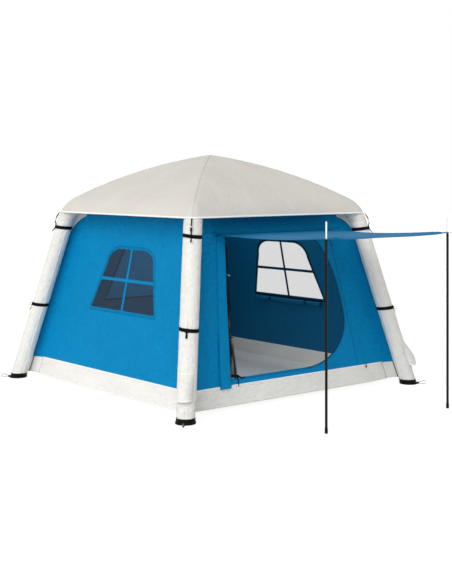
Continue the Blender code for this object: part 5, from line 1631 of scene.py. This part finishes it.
class TENT_OT_feet(bpy.types.Operator):
    """Finishes the foot caps and sews the webbing loops for the pegs"""
    bl_idname = "tent.feet"
    bl_label = "Feet"

    def execute(self, context):
        for name, signs in CORNERS.items():
            dress("foot_cap_" + name, "plastic")
            self.loop(name, signs)
            self.collar(name, signs)
        return {"FINISHED"}

    def loop(self, name, signs):
        """Follows the solid's strap round its pin and its far end, with softened edges."""
        base = upright_frame(signs) @ Matrix.Translation((FLANGE_RADIUS + EAR_LENGTH / 2, 0, PIN_HEIGHT))
        far = LOOP_HEIGHT / 2 - LOOP_THICKNESS
        near = PIN_RADIUS + PIN_CLEARANCE
        centre = Vector((LOOP_LENGTH - LOOP_HEIGHT / 2, LOOP_HEIGHT / 2 + TOUCH - PIN_HEIGHT))
        lean = atan2(centre.y, centre.x)
        contact = acos((near - far) / centre.length)
        line = []
        for step in range(17):
            angle = lean - contact + 2 * contact * step / 16
            line.append((centre.x + far * cos(angle), centre.y + far * sin(angle)))
        for step in range(1, 8):
            start, end = Vector(line[16]), near * Vector((cos(lean + contact), sin(lean + contact)))
            line.append(tuple(start.lerp(end, step / 8)))
        for step in range(13):
            angle = lean + contact + 2 * (pi - contact) * step / 12
            line.append((near * cos(angle), near * sin(angle)))
        last = Vector(line[-1])
        for step in range(1, 8):
            line.append(tuple(last.lerp(Vector(line[0]), step / 8)))
        line.append(line[0])
        count = len(line) - 1

        def place(u, v):
            x, z = line[round(u * count)]
            return base @ Vector((x, (v - 0.5) * LOOP_WIDTH, z))

        bm = cloth_grid(count, 3, (0.19, LOOP_WIDTH), place, close_u=True)
        middle = base @ Vector((centre.x, 0, centre.y))
        show("peg_loop_cloth_" + name, bm, "loop_webbing", ["peg_loop_" + name], body="loop_" + name,
             thickness=LOOP_THICKNESS, offset=1.0, outwards=away_from(middle))

    def collar(self, name, signs):
        """The bead round the cap's mouth."""
        height = CAP_HEIGHT - 0.0015

        def place(u, v):
            angle, turn = 2 * pi * u, 2 * pi * v
            out = CAP_MOUTH_RADIUS + BEAD * cos(turn)
            return corner_frame(signs) @ Vector((out * cos(angle), out * sin(angle), height + BEAD * sin(turn) + 0.001))

        bm = cloth_grid(56, 8, (0.5, 0.01), place, close_u=True)
        bmesh.ops.recalc_face_normals(bm, faces=bm.faces)
        show("foot_bead_" + name, bm, "plastic")


class TENT_OT_valves(bpy.types.Operator):
    """Finishes the inflation valves and sews the hoods over them"""
    bl_idname = "tent.valves"
    bl_label = "Valves"

    def execute(self, context):
        for side in ("left", "right"):
            name = "front_" + side
            signs = CORNERS[name]
            dress("valve_" + name, "plastic")
            dress("valve_cap_" + name, "plastic")
            self.ribs(side, signs)
            self.hood(side, signs)
        return {"FINISHED"}

    def axis_frame(self, signs):
        out_x = SLEEVE_RADIUS - LEAN * DIAGONAL * VALVE_HEIGHT
        seat = Matrix.Translation((out_x, 0, VALVE_HEIGHT)) @ Matrix.Rotation(pi / 2 - LEG_TILT, 4, "Y")
        return upright_frame(signs) @ seat

    def ribs(self, side, signs):
        """A knurled ring round the screw cap."""
        base = self.axis_frame(signs)

        def place(u, v):
            angle = 2 * pi * u
            radius = VALVE_CAP_RADIUS + 0.0002 + 0.0008 * (0.5 + 0.5 * sin(24 * angle)) * sin(pi * v)
            return base @ Vector((radius * cos(angle), radius * sin(angle), 0.0145 + 0.0055 * v))

        bm = cloth_grid(144, 4, (0.13, 0.0055), place, close_u=True)
        show("valve_knurl_" + side, bm, "plastic", body="cap_" + side, thickness=0.0006, offset=-1.0,
             outwards=away_from(base.translation))

    def hood(self, side, signs):
        def place(u, v, lift=0.0):
            across, down = 2 * u - 1, 1 - v
            angle = radians(HOOD_HALF_ANGLE + HOOD_LAP) * across + radians(HOOD_LAP) * signs[0]
            bottom = HOOD_BOTTOM + HOOD_SIDE_RISE * across ** 2
            height = HOOD_TOP + (bottom - HOOD_TOP) * down
            swell = sin(radians(HOOD_SWELL_TURN) * down ** HOOD_SWELL_POWER)
            stand = HOOD_STAND_OFF * swell * cos(across * pi / 2) ** HOOD_CROWN_POWER
            stand += 0.0018 * ripple(across * 3, down * 4, 17.0 + signs[0]) * down * cos(across * pi / 2)
            return leg_point(signs, angle, height, HOOD_GAP + 0.0006 + stand + lift)

        bm = cloth_grid(44, 40, (0.15, 0.23), place)
        show("hood_cloth_" + side, bm, "sleeve", ["valve_hood_front_" + side], body="hood_" + side, thickness=0.0010,
             offset=1.0, outwards=from_leg(signs))
        bm = cloth_grid(44, 3, (0.17, 0.014), lambda u, v: place(u, 0.06 * v, 0.0014))
        show("hood_lip_" + side, bm, "binding", body="hood_" + side, thickness=0.0010)
        bm = cloth_grid(30, 2, (0.13, 0.010), lambda u, v: place(u, 0.955 + 0.044 * v, 0.0014))
        show("hood_seam_" + side, bm, "binding", body="hood_" + side, thickness=TAPE)


class TENT_OT_stage(bpy.types.Operator):
    """Sets the pale floor, the soft light and the camera"""
    bl_idname = "tent.stage"
    bl_label = "Stage"

    def execute(self, context):
        self.floor()
        self.light(context)
        self.camera(context)
        context.scene.view_settings.view_transform = "Standard"
        return {"FINISHED"}

    def seen(self, tree):
        """1 for rays that show the background itself, through glass or in a reflection too."""
        path = add(tree, "ShaderNodeLightPath")
        glossy = add(tree, "ShaderNodeMath", {"operation": "MAXIMUM"},
                     {0: path.outputs["Is Camera Ray"], 1: path.outputs["Is Glossy Ray"]})
        return add(tree, "ShaderNodeMath", {"operation": "MAXIMUM"},
                   {0: glossy.outputs["Value"], 1: path.outputs["Is Transmission Ray"]}).outputs["Value"]

    def floor(self):
        bm = bmesh.new()
        bmesh.ops.create_grid(bm, x_segments=1, y_segments=1, size=40)
        floor = placed("floor", bm)
        floor.location.z = -0.0005
        material, tree, shader = blank("floor_white_paper", 0.9, 0.0)
        shader.inputs["Base Color"].default_value = srgb("#F2F2F2")
        # Seen directly it glows enough to read as white paper, and keeps a fifth of its shading for the shadow
        glow = add(tree, "ShaderNodeEmission", {"Color": (1, 1, 1, 1), "Strength": 1.14})
        share = add(tree, "ShaderNodeMath", {"operation": "MULTIPLY", 1: 0.78}, {0: self.seen(tree)})
        mix = add(tree, "ShaderNodeMixShader", {}, {0: share.outputs["Value"], 1: shader.outputs["BSDF"],
                                                    2: glow.outputs["Emission"]})
        link(tree, tree.nodes["Material Output"], {"Surface": mix.outputs["Shader"]})
        floor.data.materials.append(material)

    def lamp(self, name, kind, place, **settings):
        light = bpy.data.lights.new(name, kind)
        for setting, value in settings.items():
            setattr(light, setting, value)
        obj = bpy.data.objects.new(name, light)
        obj.location = place
        bpy.context.scene.collection.objects.link(obj)
        return obj

    def light(self, context):
        sizes = context.scene.tent_sizes
        key = self.lamp("key_sky", "SUN", KEY_PLACE, energy=sizes.key_strength, angle=radians(60))
        key.rotation_euler = (-key.location).to_track_quat("-Z", "Y").to_euler()
        # Pale roof cloth lets daylight through, which a broad lamp just under it stands for
        self.lamp("daylight_through_roof", "AREA", ROOF_LAMP_PLACE, energy=sizes.roof_daylight, size=1.5,
                  color=DAYLIGHT)
        world = bpy.data.worlds.new("studio")
        world.use_nodes = True
        tree = world.node_tree
        tree.nodes.clear()
        even = add(tree, "ShaderNodeBackground", {"Color": (1, 1, 1, 1), "Strength": sizes.room_light})
        white = add(tree, "ShaderNodeBackground", {"Color": (1, 1, 1, 1), "Strength": 1.0})
        mix = add(tree, "ShaderNodeMixShader", {}, {0: self.seen(tree), 1: even.outputs["Background"],
                                                    2: white.outputs["Background"]})
        add(tree, "ShaderNodeOutputWorld", {}, {"Surface": mix.outputs["Shader"]})
        context.scene.world = world

    def camera(self, context):
        lens = bpy.data.cameras.new("camera")
        lens.lens = CAMERA_LENS
        lens.sensor_width = 36.0
        lens.shift_y = CAMERA_SHIFT
        camera = bpy.data.objects.new("camera", lens)
        camera.location = CAMERA_PLACE
        camera.rotation_euler = CAMERA_TURN
        context.scene.collection.objects.link(camera)
        context.scene.camera = camera


PIECES = (TENT_OT_walls, TENT_OT_windows, TENT_OT_door, TENT_OT_ground_sheet, TENT_OT_legs, TENT_OT_rafters,
          TENT_OT_roof, TENT_OT_ceiling, TENT_OT_awning, TENT_OT_poles, TENT_OT_straps, TENT_OT_ties, TENT_OT_feet,
          TENT_OT_valves, TENT_OT_stage)


class TENT_PT_panel(bpy.types.Panel):
    """Lists the sizes, colours and pieces of the tent"""
    bl_idname = "TENT_PT_panel"
    bl_label = "Inflatable Tent"
    bl_space_type = "VIEW_3D"
    bl_region_type = "UI"
    bl_category = "Tent"

    def draw(self, context):
        for group in (context.scene.tent_sizes, context.scene.tent_colours):
            for name in group.__annotations__:
                self.layout.prop(group, name)
        for piece in PIECES:
            self.layout.operator(piece.bl_idname)


CLASSES = (TentSizes, TentColours) + PIECES + (TENT_PT_panel,)


def register():
    for cls in CLASSES:
        bpy.utils.register_class(cls)
    bpy.types.Scene.tent_sizes = bpy.props.PointerProperty(type=TentSizes)
    bpy.types.Scene.tent_colours = bpy.props.PointerProperty(type=TentColours)


def unregister():
    del bpy.types.Scene.tent_colours
    del bpy.types.Scene.tent_sizes
    for cls in reversed(CLASSES):
        bpy.utils.unregister_class(cls)


def main():
    register()
    for piece in PIECES:
        group, name = piece.bl_idname.split(".")
        getattr(getattr(bpy.ops, group), name)()


if __name__ == "__main__":
    main()
